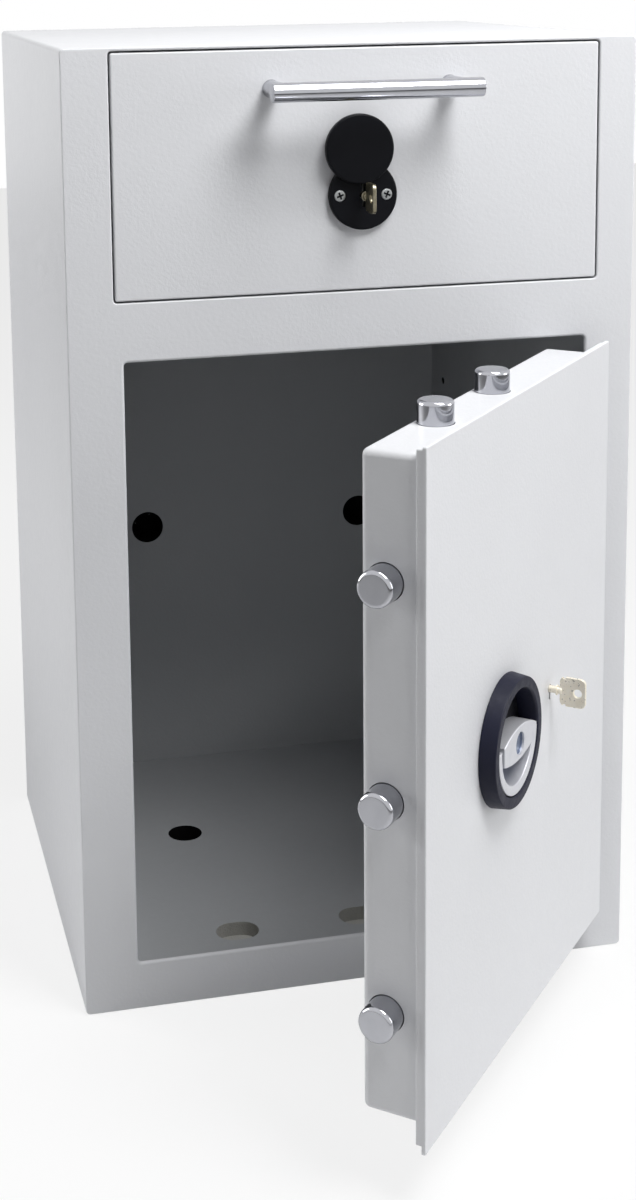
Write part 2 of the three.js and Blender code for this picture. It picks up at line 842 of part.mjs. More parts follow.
function buildDoorLeaf() {
  putOnDoor("door_plate", doorPlate(), lightGrey);
  putOnDoor("door_pan", doorPan(), lightGrey);

  const cover = roundedOutline(
    panLeft + coverInset,
    panRight - coverInset,
    panBottom + coverInset,
    panTop - coverInset,
    openingCornerRadius,
  );
  putOnDoor("door_back_cover", extrudeY(cover, panBack + seat, panBack + seat + coverSheet), lightGrey);

  const guideFront = panFront + seat;
  const guideBack = panBack - panWall - seat;
  const guideRadius = boltRadius + boltRunning;
  const sideGuideX = panLeft + panWall + seat;
  const sideGuide = cut(
    box(
      sideGuideX,
      sideGuideX + guideThickness,
      guideFront,
      guideBack,
      sideBoltHeights.lower - guideMargin,
      sideBoltHeights.upper + guideMargin,
    ),
    ...Object.values(sideBoltHeights).map((z) =>
      rodX(guideRadius, sideGuideX - seat, sideGuideX + overrun, boltDepth, z, roundSteps),
    ),
  );
  putOnDoor("side_bolt_guide", sideGuide, zincSteel);

  const endGuide = (z0) =>
    cut(
      box(
        endBoltPlaces.left - guideMargin,
        endBoltPlaces.right + guideMargin,
        guideFront,
        guideBack,
        z0,
        z0 + guideThickness,
      ),
      ...Object.values(endBoltPlaces).map((x) =>
        rodZ(guideRadius, z0 - overrun, z0 + overrun, x, boltDepth, roundSteps),
      ),
    );
  putOnDoor("top_bolt_guide", endGuide(panTop - panWall - seat - guideThickness), zincSteel);
  putOnDoor("bottom_bolt_guide", endGuide(panBottom + panWall + seat), zincSteel);
}

function buildHingeArms() {
  for (const [name, z] of Object.entries(hingeHeights)) {
    const z0 = z - hingeArmHeight / 2;
    const z1 = z + hingeArmHeight / 2;
    const eyeRadius = hingePinRadius + hingeRunning + hingeEyeWall - seat;
    const neckBack = hingePinDepth + hingeNeckReach + hingeArmWidth / 2;
    const neckFront = neckBack - hingeArmWidth;
    const footLeft = panRight + seat;
    const footBack = Math.min(neckBack, panBack);
    const arm = join(
      rodZ(eyeRadius, z0, z1, hingeX, hingePinDepth, roundSteps),
      box(hingeX - hingeArmWidth / 2, hingeX + hingeArmWidth / 2, hingePinDepth, neckBack, z0, z1),
      box(footLeft, hingeX + hingeArmWidth / 2, neckFront, neckBack, z0, z1),
      box(
        footLeft,
        footLeft + hingeFootSheet,
        panFront + hingeFootInset,
        footBack,
        z - hingeFootHeight / 2,
        z + hingeFootHeight / 2,
      ),
    );
    const bore = rodZ(hingePinRadius + hingeRunning, z0 - seat, z1 + seat, hingeX, hingePinDepth);
    putOnDoor(`hinge_arm_${name}`, cut(arm, bore), zincSteel);
  }
}

// Round black cup let into the plate, with a raised rim.
function buildHandleRim() {
  const front = -rimHeight - seat;
  const edge = rimEdgeRadius;
  const boreRadius = spindleRadius + gripClearance;
  const outside = cupRadius + cupWall;
  const profile = [
    [boreRadius, cupReach - cupBottom],
    [cupRadius, cupReach - cupBottom],
    [cupRadius, front + rimMouthRadius],
    [cupRadius + rimMouthRadius, front],
    [rimRadius - rimDraft - edge, front],
    [rimRadius - rimDraft, front + edge],
    [rimRadius, -seat],
    [outside, -seat],
    [outside, cupReach],
    [boreRadius, cupReach],
    [boreRadius, cupReach - cupBottom],
  ];
  putOnDoor("handle_rim", turned(profile, handleX, handleZ), blackPlastic);
}

// Silver insert that turns in the cup: a disc, a level bar between two arcs with a round dimple, and a
// ring that starts at the bar's right end, runs round below it and ends free beside its left end.
function buildHandle() {
  const radius = cupRadius - gripClearance;
  const discBack = cupReach - cupBottom - seat;
  const discFront = discBack - gripDiscThickness;
  const front = -gripBarFront;
  const disc = rodY(radius, discFront, discBack, handleX, handleZ, roundSteps);
  const round = rodY(radius, front, discBack, handleX, handleZ, roundSteps);
  const barX = handleX + gripBarShift;
  const topArcZ = handleZ + gripBarRise - gripBarTopRadius;
  const bottomArcZ = handleZ - gripBarDip + gripBarBottomRadius;
  const above = rodY(gripBarTopRadius, front, discBack, barX, topArcZ, largeSteps);
  const below = rodY(gripBarBottomRadius, front, discBack, barX, bottomArcZ, largeSteps);
  const bar = cut(
    round.intersect(above).intersect(below),
    box(
      handleX - radius - seat,
      handleX - gripBarReach,
      front - seat,
      discFront,
      handleZ - gripBarDip - seat,
      handleZ + gripBarRise + seat,
    ),
    rodY(
      gripDimpleRadius,
      front - seat,
      front + gripDimpleDepth,
      handleX + gripDimpleShift,
      handleZ - gripDimpleDrop,
      roundSteps,
    ),
  );
  const ring = cut(
    round,
    rodY(radius - gripRingWidth, front - seat, discFront, handleX, handleZ, roundSteps),
    box(
      handleX - radius - seat,
      handleX,
      front - seat,
      discFront,
      handleZ + gripRingRise,
      handleZ + radius + seat,
    ),
    box(handleX, handleX + radius + seat, front - seat, discFront, handleZ, handleZ + radius + seat),
  );
  putOnDoor("turn_grip", join(disc, bar, ring), satinSilver);
  putOnDoor("handle_spindle", rodY(spindleRadius, discBack + seat, camBack, handleX, handleZ), brightSteel);

  const pinPlaces = [
    [-camPinOffset, camPinOffset, 0],
    [camPinOffset, camPinOffset, 1],
    [-camPinOffset, -camPinOffset, 2],
  ];
  const cam = cut(
    join(
      rodY(camRadius, camFront, camBack, handleX, handleZ, roundSteps),
      ...pinPlaces.map(([x, z, layer]) =>
        rodY(camPinRadius, camBack - seat, linkLayer(layer) + linkThickness, handleX + x, handleZ + z),
      ),
    ),
    rodY(spindleRadius + seat, camFront - seat, camBack + seat, handleX, handleZ),
  );
  putOnDoor("drive_cam", cam, zincSteel);
}

// Side bolts: a bar with three bolts, a slotted link to the cam and a lug for the lock bolt.
function buildSideBolts() {
  const barFront = boltDepth - barThickness / 2;
  const barBack = boltDepth + barThickness / 2;
  const barRight = sideBarX + barWidth;
  const layer = linkLayer(0);
  const layerBack = layer + linkThickness;
  const pinX = handleX - camPinOffset;
  const pinZ = handleZ + camPinOffset;
  const pinTop = handleZ + camPinReach;
  const slotWall = camPinClearance + camSlotReach / 2;
  const slotTop = pinTop + camSlotReach;
  const slotBottom = pinZ - camSlotReach;
  const linkTop = slotTop + barWidth;
  const linkRight = pinX + camSlotReach + slotWall;
  const lugRight = lockBoltLeft - lockLugGap;
  const lugBottom = lockCaseTop + barWidth;
  const armBottom = lockBoltTip + lockBoltThrow + lockArmRise;
  const armTop = armBottom + lockArmWidth;
  const bar = cut(
    join(
      box(
        sideBarX,
        barRight,
        barFront,
        barBack,
        sideBoltHeights.lower - barOverhang,
        sideBoltHeights.upper + barOverhang,
      ),
      box(sideBarX, barRight, layer, barBack, slotTop, armTop),
      box(sideBarX, linkRight, layer, layerBack, slotTop, linkTop),
      box(pinX - camSlotReach - slotWall, linkRight, layer, layerBack, slotBottom - slotWall / 2, linkTop),
      box(sideBarX, lugRight, layer, layerBack, armBottom, armTop),
      box(lugRight - lockLugWidth, lugRight, layer, layerBack, lugBottom, armTop),
    ),
    box(pinX - camSlotReach, pinX + camSlotReach, layer - seat, layerBack + seat, slotBottom, slotTop),
  );
  putOnDoor("side_bolt_bar", bar, zincSteel);

  for (const [name, z] of Object.entries(sideBoltHeights)) {
    const length = sideBarX - seat - sideBoltTip;
    const bolt = chamferedBolt(length).rotateY(-Math.PI / 2).translate(sideBarX - seat, boltDepth, z);
    putOnDoor(`side_bolt_${name}`, solid(bolt), brightSteel);
  }
}

// End bolts: a level bar with two bolts and a slotted link down or up to the cam.
function buildEndBolts(end, barZ, away, tip, pinSide, layerIndex) {
  const barFront = boltDepth - barThickness / 2;
  const barBack = boltDepth + barThickness / 2;
  const layer = linkLayer(layerIndex);
  const layerBack = layer + linkThickness;
  const left = endBoltPlaces.left - barOverhang / 2;
  const right = endBoltPlaces.right + barOverhang / 2;
  const barFar = barZ + away * barWidth;
  const pinX = handleX + pinSide * camPinOffset;
  const pinZ = handleZ + away * camPinOffset;
  const pinFarX = handleX + pinSide * camPinReach;
  const sorted = (a, b) => [Math.min(a, b), Math.max(a, b)];
  const slotX = sorted(pinX - pinSide * camSlotReach, pinFarX + pinSide * camSlotReach);
  const linkX = [slotX[0] - camSlotReach, slotX[1] + camSlotReach];
  const linkZ = sorted(pinZ - away * 2 * camSlotReach, barFar);
  const barRange = sorted(barZ, barFar);
  const bar = cut(
    join(
      box(left, right, barFront, barBack, ...barRange),
      box(...linkX, layer, barBack, ...barRange),
      box(...linkX, layer, layerBack, ...linkZ),
    ),
    box(...slotX, layer - seat, layerBack + seat, pinZ - camSlotReach, pinZ + camSlotReach),
  );
  putOnDoor(`${end}_bolt_bar`, bar, zincSteel);

  for (const [name, x] of Object.entries(endBoltPlaces)) {
    const root = barFar + away * seat;
    const bolt = chamferedBolt(Math.abs(tip - root));
    if (away < 0) {
      bolt.rotateX(Math.PI);
    }
    putOnDoor(`${end}_bolt_${name}`, solid(bolt.translate(x, boltDepth, root)), brightSteel);
  }
}

function buildDoorLock() {
  const left = doorKeyX - lockCaseWidth / 2;
  const right = doorKeyX + lockCaseWidth / 2;
  const bottom = doorMiddle - lockCaseBelow;
  const back = lockCaseFront + lockCaseThickness;
  const margin = hardPlateMargin;
  const hardPlate = cut(
    box(
      left + margin,
      right - margin,
      panFront,
      panFront + hardPlateThickness,
      bottom + margin,
      lockCaseTop - margin,
    ),
    keyhole(doorKeyX, doorMiddle, panFront - seat, panFront + hardPlateThickness + seat),
  );
  putOnDoor("hard_plate", hardPlate, zincSteel);

  const running = lockBoltRunning;
  const lockCase = cut(
    box(left, right, lockCaseFront, back, bottom, lockCaseTop),
    rodY(lockBoreRadius, lockCaseFront - seat, back + seat, doorKeyX, doorMiddle),
    box(
      lockBoltLeft - running,
      lockBoltLeft + lockBoltWidth + running,
      lockBoltFront - running,
      lockBoltFront + lockBoltThickness + running,
      lockBoltTip - lockBoltLength - running,
      lockCaseTop + seat,
    ),
  );
  putOnDoor("door_lock_case", lockCase, zincSteel);

  const bolt = box(
    lockBoltLeft,
    lockBoltLeft + lockBoltWidth,
    lockBoltFront,
    lockBoltFront + lockBoltThickness,
    lockBoltTip - lockBoltLength,
    lockBoltTip,
  );
  putOnDoor("door_lock_bolt", bolt, brightSteel);
  putOnDoor("door_key", key(doorKeyX, doorMiddle, -doorKeyBowGap, doorKeyInside), keyBrass);
}

const drawer = new THREE.Group();
safe.add(drawer);

function buildDrawerBox() {
  const panel = cut(
    box(drawerLeft, drawerRight, 0, drawerPanelDepth, drawerBottom, drawerTop),
    box(
      drawerLeft + drawerReturn,
      drawerRight - drawerReturn,
      drawerSkin,
      drawerPanelDepth + seat,
      drawerBottom + drawerReturn,
      drawerTop - drawerReturn,
    ),
    keyhole(bayCentre, roseZ, -seat, drawerSkin + seat),
    ...[-1, 1].map((side) =>
      rodY(
        roseScrewShank + seat,
        -seat,
        drawerSkin + seat,
        bayCentre + (side * roseScrewSpacing) / 2,
        roseZ,
        holeSteps,
      ),
    ),
  );
  put(drawer, "drawer_front", panel, lightGrey);

  const lockHalf = drawerLockWidth / 2 + seat;
  const under = trayFloor - traySheet;
  const sideTop = under + traySideHeight;
  const rearTop = under + trayRearHeight;
  const rearInside = trayDepth - traySheet;
  const frontInside = trayFront + traySheet;
  const hollow = extrudeX(
    outline([
      [frontInside, trayFloor],
      [rearInside, trayFloor],
      [rearInside, rearTop],
      [trayDepth + seat, rearTop],
      [trayDepth + seat, sideTop + seat],
      [frontInside, sideTop + seat],
    ]),
    trayLeft + traySheet,
    trayRight - traySheet,
  );
  const earZ = flapPinZ - flapPinRadius - flapEyeWall;
  const earReach = flapWidth / 2 + flapClearance;
  const pinHalf = earReach + flapEarWidth;
  const slotFront = flapPinY - flapPinRadius - flapEyeWall - flapClearance;
  const ears = box(
    bayCentre - pinHalf,
    bayCentre + pinHalf,
    slotFront - seat,
    flapPinY + 2 * flapPinRadius,
    earZ,
    (under + trayFloor) / 2,
  );
  const tray = cut(
    join(cut(box(trayLeft, trayRight, trayFront, trayDepth, under, sideTop), hollow), ears),
    box(
      bayCentre - lockHalf,
      bayCentre + lockHalf,
      trayFront - seat,
      drawerLockBack + seat,
      under - seat,
      sideTop + seat,
    ),
    box(
      bayCentre - earReach,
      bayCentre + earReach,
      slotFront - seat,
      flapBack + flapClearance,
      earZ - seat,
      trayFloor + seat,
    ),
    rodX(flapPinRadius + seat / 2, bayCentre - pinHalf - seat, bayCentre + pinHalf + seat, flapPinY, flapPinZ),
  );
  put(drawer, "drawer_tray", tray, zincSteel);
  put(
    drawer,
    "flap_pin",
    rodX(flapPinRadius, bayCentre - pinHalf, bayCentre + pinHalf, flapPinY, flapPinZ),
    brightSteel,
  );
}

// The flap is drawn level, and its group then tips it down through the drop opening.
function buildFlap() {
  const origin = [bayCentre, flapPinY, flapPinZ];
  const flap = new THREE.Group();
  flap.position.set(...origin);
  flap.rotation.x = -flapAngle;
  drawer.add(flap);
  const eyeRadius = flapPinRadius + flapPinRunning + flapEyeWall;
  const left = bayCentre - flapWidth / 2;
  const right = bayCentre + flapWidth / 2;
  const plate = cut(
    join(
      rodX(eyeRadius, left, right, flapPinY, flapPinZ),
      box(left, right, flapPinY, flapBack, trayFloor - traySheet, trayFloor),
      box(left, right, flapPinY, flapPinY + eyeRadius, flapPinZ, trayFloor),
    ),
    rodX(flapPinRadius + flapPinRunning, left - seat, right + seat, flapPinY, flapPinZ),
  );
  put(flap, "drop_flap", plate, zincSteel, origin);
}

function buildPull() {
  const centre = bayCentre;
  const bar = rodX(pullRadius, centre - pullLength / 2, centre + pullLength / 2, -pullReach, pullZ, roundSteps);
  put(drawer, "pull_bar", bar, brightSteel);
  const clear = rodX(
    pullRadius + seat,
    centre - pullLength / 2,
    centre + pullLength / 2,
    -pullReach,
    pullZ,
    roundSteps,
  );
  for (const [name, side] of [
    ["left", -1],
    ["right", 1],
  ]) {
    const post = rodY(pullPostRadius, -pullReach, -seat, centre + (side * pullCentres) / 2, pullZ, roundSteps);
    put(drawer, `pull_post_${name}`, post.subtract(clear), brightSteel);
  }
}

// A disc on the Y axis with its front edge rounded off.
function buttonDisc(radius, edge, back, front, x, z) {
  const profile = [
    [0, front],
    [radius - edge, front],
    [radius, front + edge],
    [radius, back],
    [0, back],
  ];
  return turned(profile, x, z);
}

function buildRose() {
  const front = -seat - roseThickness;
  const pivotZ = roseZ + coverPivotRise;
  const screws = { left: bayCentre - roseScrewSpacing / 2, right: bayCentre + roseScrewSpacing / 2 };
  const rose = cut(
    buttonDisc(roseRadius, roseEdge, -seat, front, bayCentre, roseZ),
    keyhole(bayCentre, roseZ, front - seat, 0),
    rodY(coverStudRadius + seat, front - seat, 0, bayCentre, pivotZ),
    ...Object.values(screws).flatMap((x) => [
      rodY(roseScrewRadius + seat, front - seat, front + roseScrewSink + seat, x, roseZ),
      rodY(roseScrewShank + seat, front - seat, 0, x, roseZ),
    ]),
  );
  put(drawer, "lock_rose", rose, blackPlastic);

  for (const [name, x] of Object.entries(screws)) {
    const screw = cut(
      join(
        rodY(roseScrewRadius, front, front + roseScrewSink, x, roseZ),
        rodY(roseScrewShank, front + seat, front + roseScrewLength, x, roseZ, holeSteps),
      ),
      box(
        x - roseScrewRadius,
        x + roseScrewRadius,
        front - seat,
        front + screwSlotDepth,
        roseZ - screwSlotWidth / 2,
        roseZ + screwSlotWidth / 2,
      ),
    );
    put(drawer, `rose_screw_${name}`, screw, zincSteel);
  }
}

// The cover is drawn down over the keyhole, and its group then swings it up about its stud.
function buildLockCover() {
  const pivotZ = roseZ + coverPivotRise;
  const origin = [bayCentre, 0, pivotZ];
  const swing = new THREE.Group();
  swing.position.set(...origin);
  swing.rotation.y = coverRestAngle;
  drawer.add(swing);
  const back = -seat - roseThickness - coverGap;
  const cover = join(
    buttonDisc(roseRadius, roseEdge, back, back - coverThickness, bayCentre, roseZ),
    rodY(coverStudRadius, back - seat, back + coverStudLength, bayCentre, pivotZ),
  );
  put(swing, "lock_cover", cover, blackPlastic, origin);
}

function buildDrawerLock() {
  const half = drawerLockWidth / 2;
  const running = lockBoltRunning;
  const boltHalf = drawerBoltWidth / 2;
  const lockCase = cut(
    box(
      bayCentre - half,
      bayCentre + half,
      drawerSkin + seat,
      drawerLockBack,
      roseZ - drawerLockBelow,
      drawerLockTop,
    ),
    rodY(lockBoreRadius, drawerSkin, drawerLockBack + seat, bayCentre, roseZ),
    box(
      bayCentre - boltHalf - running,
      bayCentre + boltHalf + running,
      drawerBoltFront - running,
      drawerBoltFront + drawerBoltThickness + running,
      drawerBoltTip - drawerBoltLength - running,
      drawerLockTop + seat,
    ),
    ...[-1, 1].map((side) =>
      rodY(
        roseScrewShank + seat,
        drawerSkin,
        drawerSkin + roseScrewLength,
        bayCentre + (side * roseScrewSpacing) / 2,
        roseZ,
        holeSteps,
      ),
    ),
  );
  put(drawer, "drawer_lock_case", lockCase, zincSteel);
  const bolt = box(
    bayCentre - boltHalf,
    bayCentre + boltHalf,
    drawerBoltFront,
    drawerBoltFront + drawerBoltThickness,
    drawerBoltTip - drawerBoltLength,
    drawerBoltTip,
  );
  put(drawer, "drawer_lock_bolt", bolt, brightSteel);
  put(drawer, "drawer_key", key(bayCentre, roseZ, -drawerKeyBowGap, drawerKeyInside), keyBrass);
}

buildShell();
buildLiners();
buildFill();
buildBaffle();
buildHingeBrackets();
buildRunners(drawer);
buildStrike();
buildDoorLeaf();
buildHingeArms();
buildHandleRim();
buildHandle();
buildSideBolts();
buildEndBolts("top", topBarZ, 1, topBoltTip, 1, 1);
buildEndBolts("bottom", bottomBarZ, -1, bottomBoltTip, -1, 2);
buildDoorLock();
buildDrawerBox();
buildFlap();
buildPull();
buildRose();
buildLockCover();
buildDrawerLock();

export default safe;
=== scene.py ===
"""Drop safe with a deposit drawer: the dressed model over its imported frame."""

import logging
import math
from collections.abc import Callable, Iterable, Sequence
from dataclasses import dataclass, field
from enum import Enum
from typing import Any

import bmesh
import bpy
from mathutils import Matrix, Vector


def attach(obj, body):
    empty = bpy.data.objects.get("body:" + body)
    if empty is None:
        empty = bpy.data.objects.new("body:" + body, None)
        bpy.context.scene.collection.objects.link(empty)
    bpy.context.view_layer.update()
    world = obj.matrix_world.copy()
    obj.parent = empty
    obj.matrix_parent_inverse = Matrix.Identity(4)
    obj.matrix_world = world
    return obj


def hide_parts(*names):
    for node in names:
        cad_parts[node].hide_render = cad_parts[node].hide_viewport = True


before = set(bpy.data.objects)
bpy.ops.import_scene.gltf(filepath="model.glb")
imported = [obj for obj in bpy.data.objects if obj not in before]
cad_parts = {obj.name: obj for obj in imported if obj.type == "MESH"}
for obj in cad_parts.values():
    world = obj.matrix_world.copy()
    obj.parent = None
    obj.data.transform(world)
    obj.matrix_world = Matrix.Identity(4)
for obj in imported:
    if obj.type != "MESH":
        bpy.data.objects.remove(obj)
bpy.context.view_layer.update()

log = logging.getLogger("drop_safe")

MM = 0.001
FRONT = 225.0
Point = tuple[float, float]
Triple = tuple[float, float, float]
Outline = list[Point]
Opening = tuple[float, float, float, float]
Solid = bmesh.types.BMesh
Socket = bpy.types.NodeSocket


def at(x: float, y: float, z: float) -> Matrix:
    """Returns a move to a place."""
    return Matrix.Translation((x, y, z))


# Sizes below are millimetres: x from the middle, y back from the front face, z up from the base.
CLOSED = Matrix.Diagonal((MM, MM, MM, 1.0)) @ at(0.0, -FRONT, 0.0)
HINGE_X = 233.0
HINGE_Y = 10.0
DOOR_ANGLE = math.radians(48.5)
OPEN = (
    CLOSED
    @ at(HINGE_X, HINGE_Y, 0.0)
    @ Matrix.Rotation(DOOR_ANGLE, 4, "Z")
    @ at(-HINGE_X, -HINGE_Y, 0.0)
)

# How far a place may lie past a face that it is tested against
SLACK = 0.1

# Places that several sub-assemblies share
BOLT_Y = 33.0
SIDE_BOLT_Z = (147.0, 311.0, 475.0)
END_BOLT_X = (-106.5, 8.5)
HANDLE_CENTRE = (-49.0, 308.0)
DOOR_KEY_CENTRE = (59.0, 311.0)
DRAWER_KEY_CENTRE = (3.0, 712.0)

# Turns of a shape made along its own axis
ALONG_X = Matrix.Rotation(math.radians(-90.0), 4, "Z")
ALONG_Z = Matrix.Rotation(math.radians(90.0), 4, "X")
TIPS_LEFT = Matrix.Rotation(math.radians(-90.0), 4, "Y")
TIPS_DOWN = Matrix.Rotation(math.radians(180.0), 4, "X")
TIPS_FORWARD = Matrix.Rotation(math.radians(90.0), 4, "X")
TIPS_BACK = Matrix.Rotation(math.radians(-90.0), 4, "X")


class Body(Enum):
    """Bodies of the frame that the pieces ride on."""

    CABINET = "cabinet"
    DOOR = "door"
    HANDLE = "handle"
    SIDE_BOLTS = "side_bolts"
    TOP_BOLTS = "top_bolts"
    BOTTOM_BOLTS = "bottom_bolts"
    DOOR_KEY = "door_key"
    DRAWER = "drawer"
    LOCK_COVER = "lock_cover"
    DRAWER_KEY = "drawer_key"


class Slot(Enum):
    """Material slots of the record."""

    OUTER_PAINT = "light_grey_paint"
    INNER_PAINT = "inner_grey_paint"
    FILL = "barrier_fill"
    CHROME = "bright_steel"
    ZINC = "zinc_steel"
    PLASTIC = "black_plastic"
    SILVER = "satin_silver"
    KEY = "key_metal"


def linear(colour: str) -> tuple[float, float, float, float]:
    """Turns an sRGB hex colour to linear values.

    Args:
        colour: Six hex digits.

    Returns:
        Linear red, green and blue, with alpha 1.
    """
    values = []
    for start in (0, 2, 4):
        share = int(colour[start : start + 2], 16) / 255.0
        values.append(share / 12.92 if share <= 0.04045 else ((share + 0.055) / 1.055) ** 2.4)
    return (values[0], values[1], values[2], 1.0)


def add_node(
    tree: bpy.types.NodeTree, kind: str, inputs: dict | None = None, **settings: Any
) -> bpy.types.Node:
    """Adds a node with its settings and links.

    Args:
        tree: Node tree that gets the node.
        kind: The node's type name.
        inputs: Value, or output socket to link, by input name or index.
        settings: Properties of the node.

    Returns:
        The new node.
    """
    node = tree.nodes.new(kind)
    for name, value in settings.items():
        setattr(node, name, value)
    for name, value in (inputs or {}).items():
        if isinstance(value, Socket):
            tree.links.new(value, node.inputs[name])
        else:
            node.inputs[name].default_value = value
    return node


def blank_material(name: str, **shader: Any) -> tuple[bpy.types.Material, bpy.types.Node, Socket]:
    """Starts a material.

    Args:
        name: The material's name.
        shader: Values for the shader's sockets, with _ for a space in their names.

    Returns:
        The material, its shader node and the object coordinates in metres.
    """
    material = bpy.data.materials.new(name)
    material.use_nodes = True
    tree = material.node_tree
    tree.nodes.clear()
    values = {socket.replace("_", " "): value for socket, value in shader.items()}
    bsdf = add_node(tree, "ShaderNodeBsdfPrincipled", values)
    add_node(tree, "ShaderNodeOutputMaterial", {"Surface": bsdf.outputs[0]})
    place = add_node(tree, "ShaderNodeTexCoord").outputs["Object"]
    return material, bsdf, place


def feed(bsdf: bpy.types.Node, **sources: Socket) -> None:
    """Links sockets to a shader's inputs, named with _ for a space."""
    for name, source in sources.items():
        bsdf.id_data.links.new(source, bsdf.inputs[name.replace("_", " ")])


def mottle(place: Socket, size: float, low: Any, high: Any, detail: float = 2.0) -> Socket:
    """Makes a noise that runs between two colours or two numbers.

    Args:
        place: Coordinates in metres.
        size: Size of a patch in millimetres.
        low: Colour or number at the noise's low end.
        high: Colour or number at its high end.
        detail: Octaves of the noise.

    Returns:
        The colour or number socket.
    """
    tree = place.id_data
    scale = 1.0 / (size * MM)
    values = {"Vector": place, "Scale": scale, "Detail": detail}
    noise = add_node(tree, "ShaderNodeTexNoise", values).outputs["Fac"]
    if isinstance(low, str):
        colours = {0: noise, 6: linear(low), 7: linear(high)}
        return add_node(tree, "ShaderNodeMix", colours, data_type="RGBA").outputs[2]
    values = {"Value": noise, "From Min": 0.3, "From Max": 0.7, "To Min": low, "To Max": high}
    return add_node(tree, "ShaderNodeMapRange", values).outputs[0]


def roughen(bsdf: bpy.types.Node, height: Socket, depth: float, strength: float = 1.0) -> None:
    """Adds relief to a shader.

    Args:
        bsdf: Shader node.
        height: Height from 0 to 1.
        depth: Depth of the relief in millimetres.
        strength: Share of the relief that shows.
    """
    values = {"Height": height, "Distance": depth * MM, "Strength": strength}
    feed(bsdf, Normal=add_node(bsdf.id_data, "ShaderNodeBump", values).outputs[0])


@dataclass(frozen=True)
class PowderCoat:
    """Polyester powder coat on steel, sprayed dry and baked: an even, satin grey with a faint orange peel.

    The peel of the real coat has waves of 1 to 2 mm, drawn wider here so that the render shows them.
    """

    name: str
    colour: str
    shade: str
    roughness: float = 0.42
    cloud: float = 140.0
    smear: float = 9.0
    peel: float = 2.6
    depth: float = 0.06

    def make(self) -> bpy.types.Material:
        """Returns the material."""
        material, bsdf, place = blank_material(self.name, IOR=1.5)
        gloss = mottle(place, self.smear, self.roughness - 0.04, self.roughness + 0.06)
        feed(bsdf, Base_Color=mottle(place, self.cloud, self.shade, self.colour), Roughness=gloss)
        roughen(bsdf, mottle(place, self.peel, 0.0, 1.0), self.depth)
        return material


@dataclass(frozen=True)
class Metal:
    """What the metal finishes share: patches of two colours, a gloss that wanders and a fine relief."""

    name: str
    colour: str
    shade: str
    plated: float = 1.0
    patch: float = 10.0
    patch_detail: float = 2.0
    smear: float = 2.0
    smear_detail: float = 2.0
    gloss: Point = (0.3, 0.5)
    grain: float = 1.0
    grain_detail: float = 2.0
    depth: float = 0.01
    strength: float = 1.0

    def make(self) -> bpy.types.Material:
        """Returns the material."""
        material, bsdf, place = blank_material(self.name, Metallic=self.plated)
        colours = mottle(place, self.patch, self.shade, self.colour, self.patch_detail)
        feed(bsdf, Base_Color=colours, Roughness=mottle(place, self.smear, *self.gloss, self.smear_detail))
        roughen(bsdf, mottle(place, self.grain, 0.0, 1.0, self.grain_detail), self.depth, self.strength)
        return material


@dataclass(frozen=True)
class PolishedChrome(Metal):
    """Decorative chrome over nickel on turned steel, buffed: a mirror with hairlines left by the mop."""

    name: str = "chrome_plate_buffed"
    colour: str = "BDBEC3"
    shade: str = "ADAEB4"
    patch: float = 12.0
    smear: float = 3.0
    gloss: Point = (0.07, 0.16)
    grain: float = 0.4
    grain_detail: float = 4.0
    depth: float = 0.002
    strength: float = 0.4


@dataclass(frozen=True)
class ZincPlate(Metal):
    """Bright zinc plate on mild steel, barrel plated: a cool grey with cloudy patches and a dull shine."""

    name: str = "zinc_plate_passivated"
    colour: str = "B7B9B8"
    shade: str = "9A9D9F"
    patch: float = 8.0
    patch_detail: float = 4.0
    smear: float = 4.0
    smear_detail: float = 3.0
    gloss: Point = (0.32, 0.5)
    grain: float = 1.5


@dataclass(frozen=True)
class SatinSilver(Metal):
    """Zinc die casting sprayed with silver lacquer: pale and even, half metal and half paint, no mirror."""

    name: str = "silver_lacquer_on_die_casting"
    colour: str = "D4D5DA"
    shade: str = "C8C9CF"
    plated: float = 0.5
    gloss: Point = (0.34, 0.44)
    grain: float = 0.8
    grain_detail: float = 3.0
    depth: float = 0.006


@dataclass(frozen=True)
class KeyMetal(Metal):
    """Nickel plate worn through to brass on a stamped key: pale metal, warm patches and fine scratches."""

    patch: float = 5.0
    patch_detail: float = 4.0
    smear_detail: float = 3.0
    gloss: Point = (0.24, 0.46)
    grain: float = 0.7
    grain_detail: float = 4.0
    depth: float = 0.03
    strength: float = 0.7


@dataclass(frozen=True)
class MouldedPlastic:
    """Black ABS from a spark-eroded mould: a deep black whose fine pebble scatters the highlights."""

    name: str
    colour: str = "0C0D12"
    shade: str = "08090D"
    roughness: float = 0.44
    shine: float = 0.1
    cloud: float = 20.0
    smear: float = 5.0
    pebble: float = 0.9
    depth: float = 0.02
    strength: float = 0.5

    def make(self) -> bpy.types.Material:
        """Returns the material."""
        material, bsdf, place = blank_material(self.name, IOR=1.53, Specular_IOR_Level=self.shine)
        gloss = mottle(place, self.smear, self.roughness - 0.05, self.roughness + 0.07)
        feed(bsdf, Base_Color=mottle(place, self.cloud, self.shade, self.colour), Roughness=gloss)
        values = {"Vector": place, "Scale": 1.0 / (self.pebble * MM)}
        pebbles = add_node(material.node_tree, "ShaderNodeTexVoronoi", values).outputs["Distance"]
        roughen(bsdf, pebbles, self.depth, self.strength)
        return material


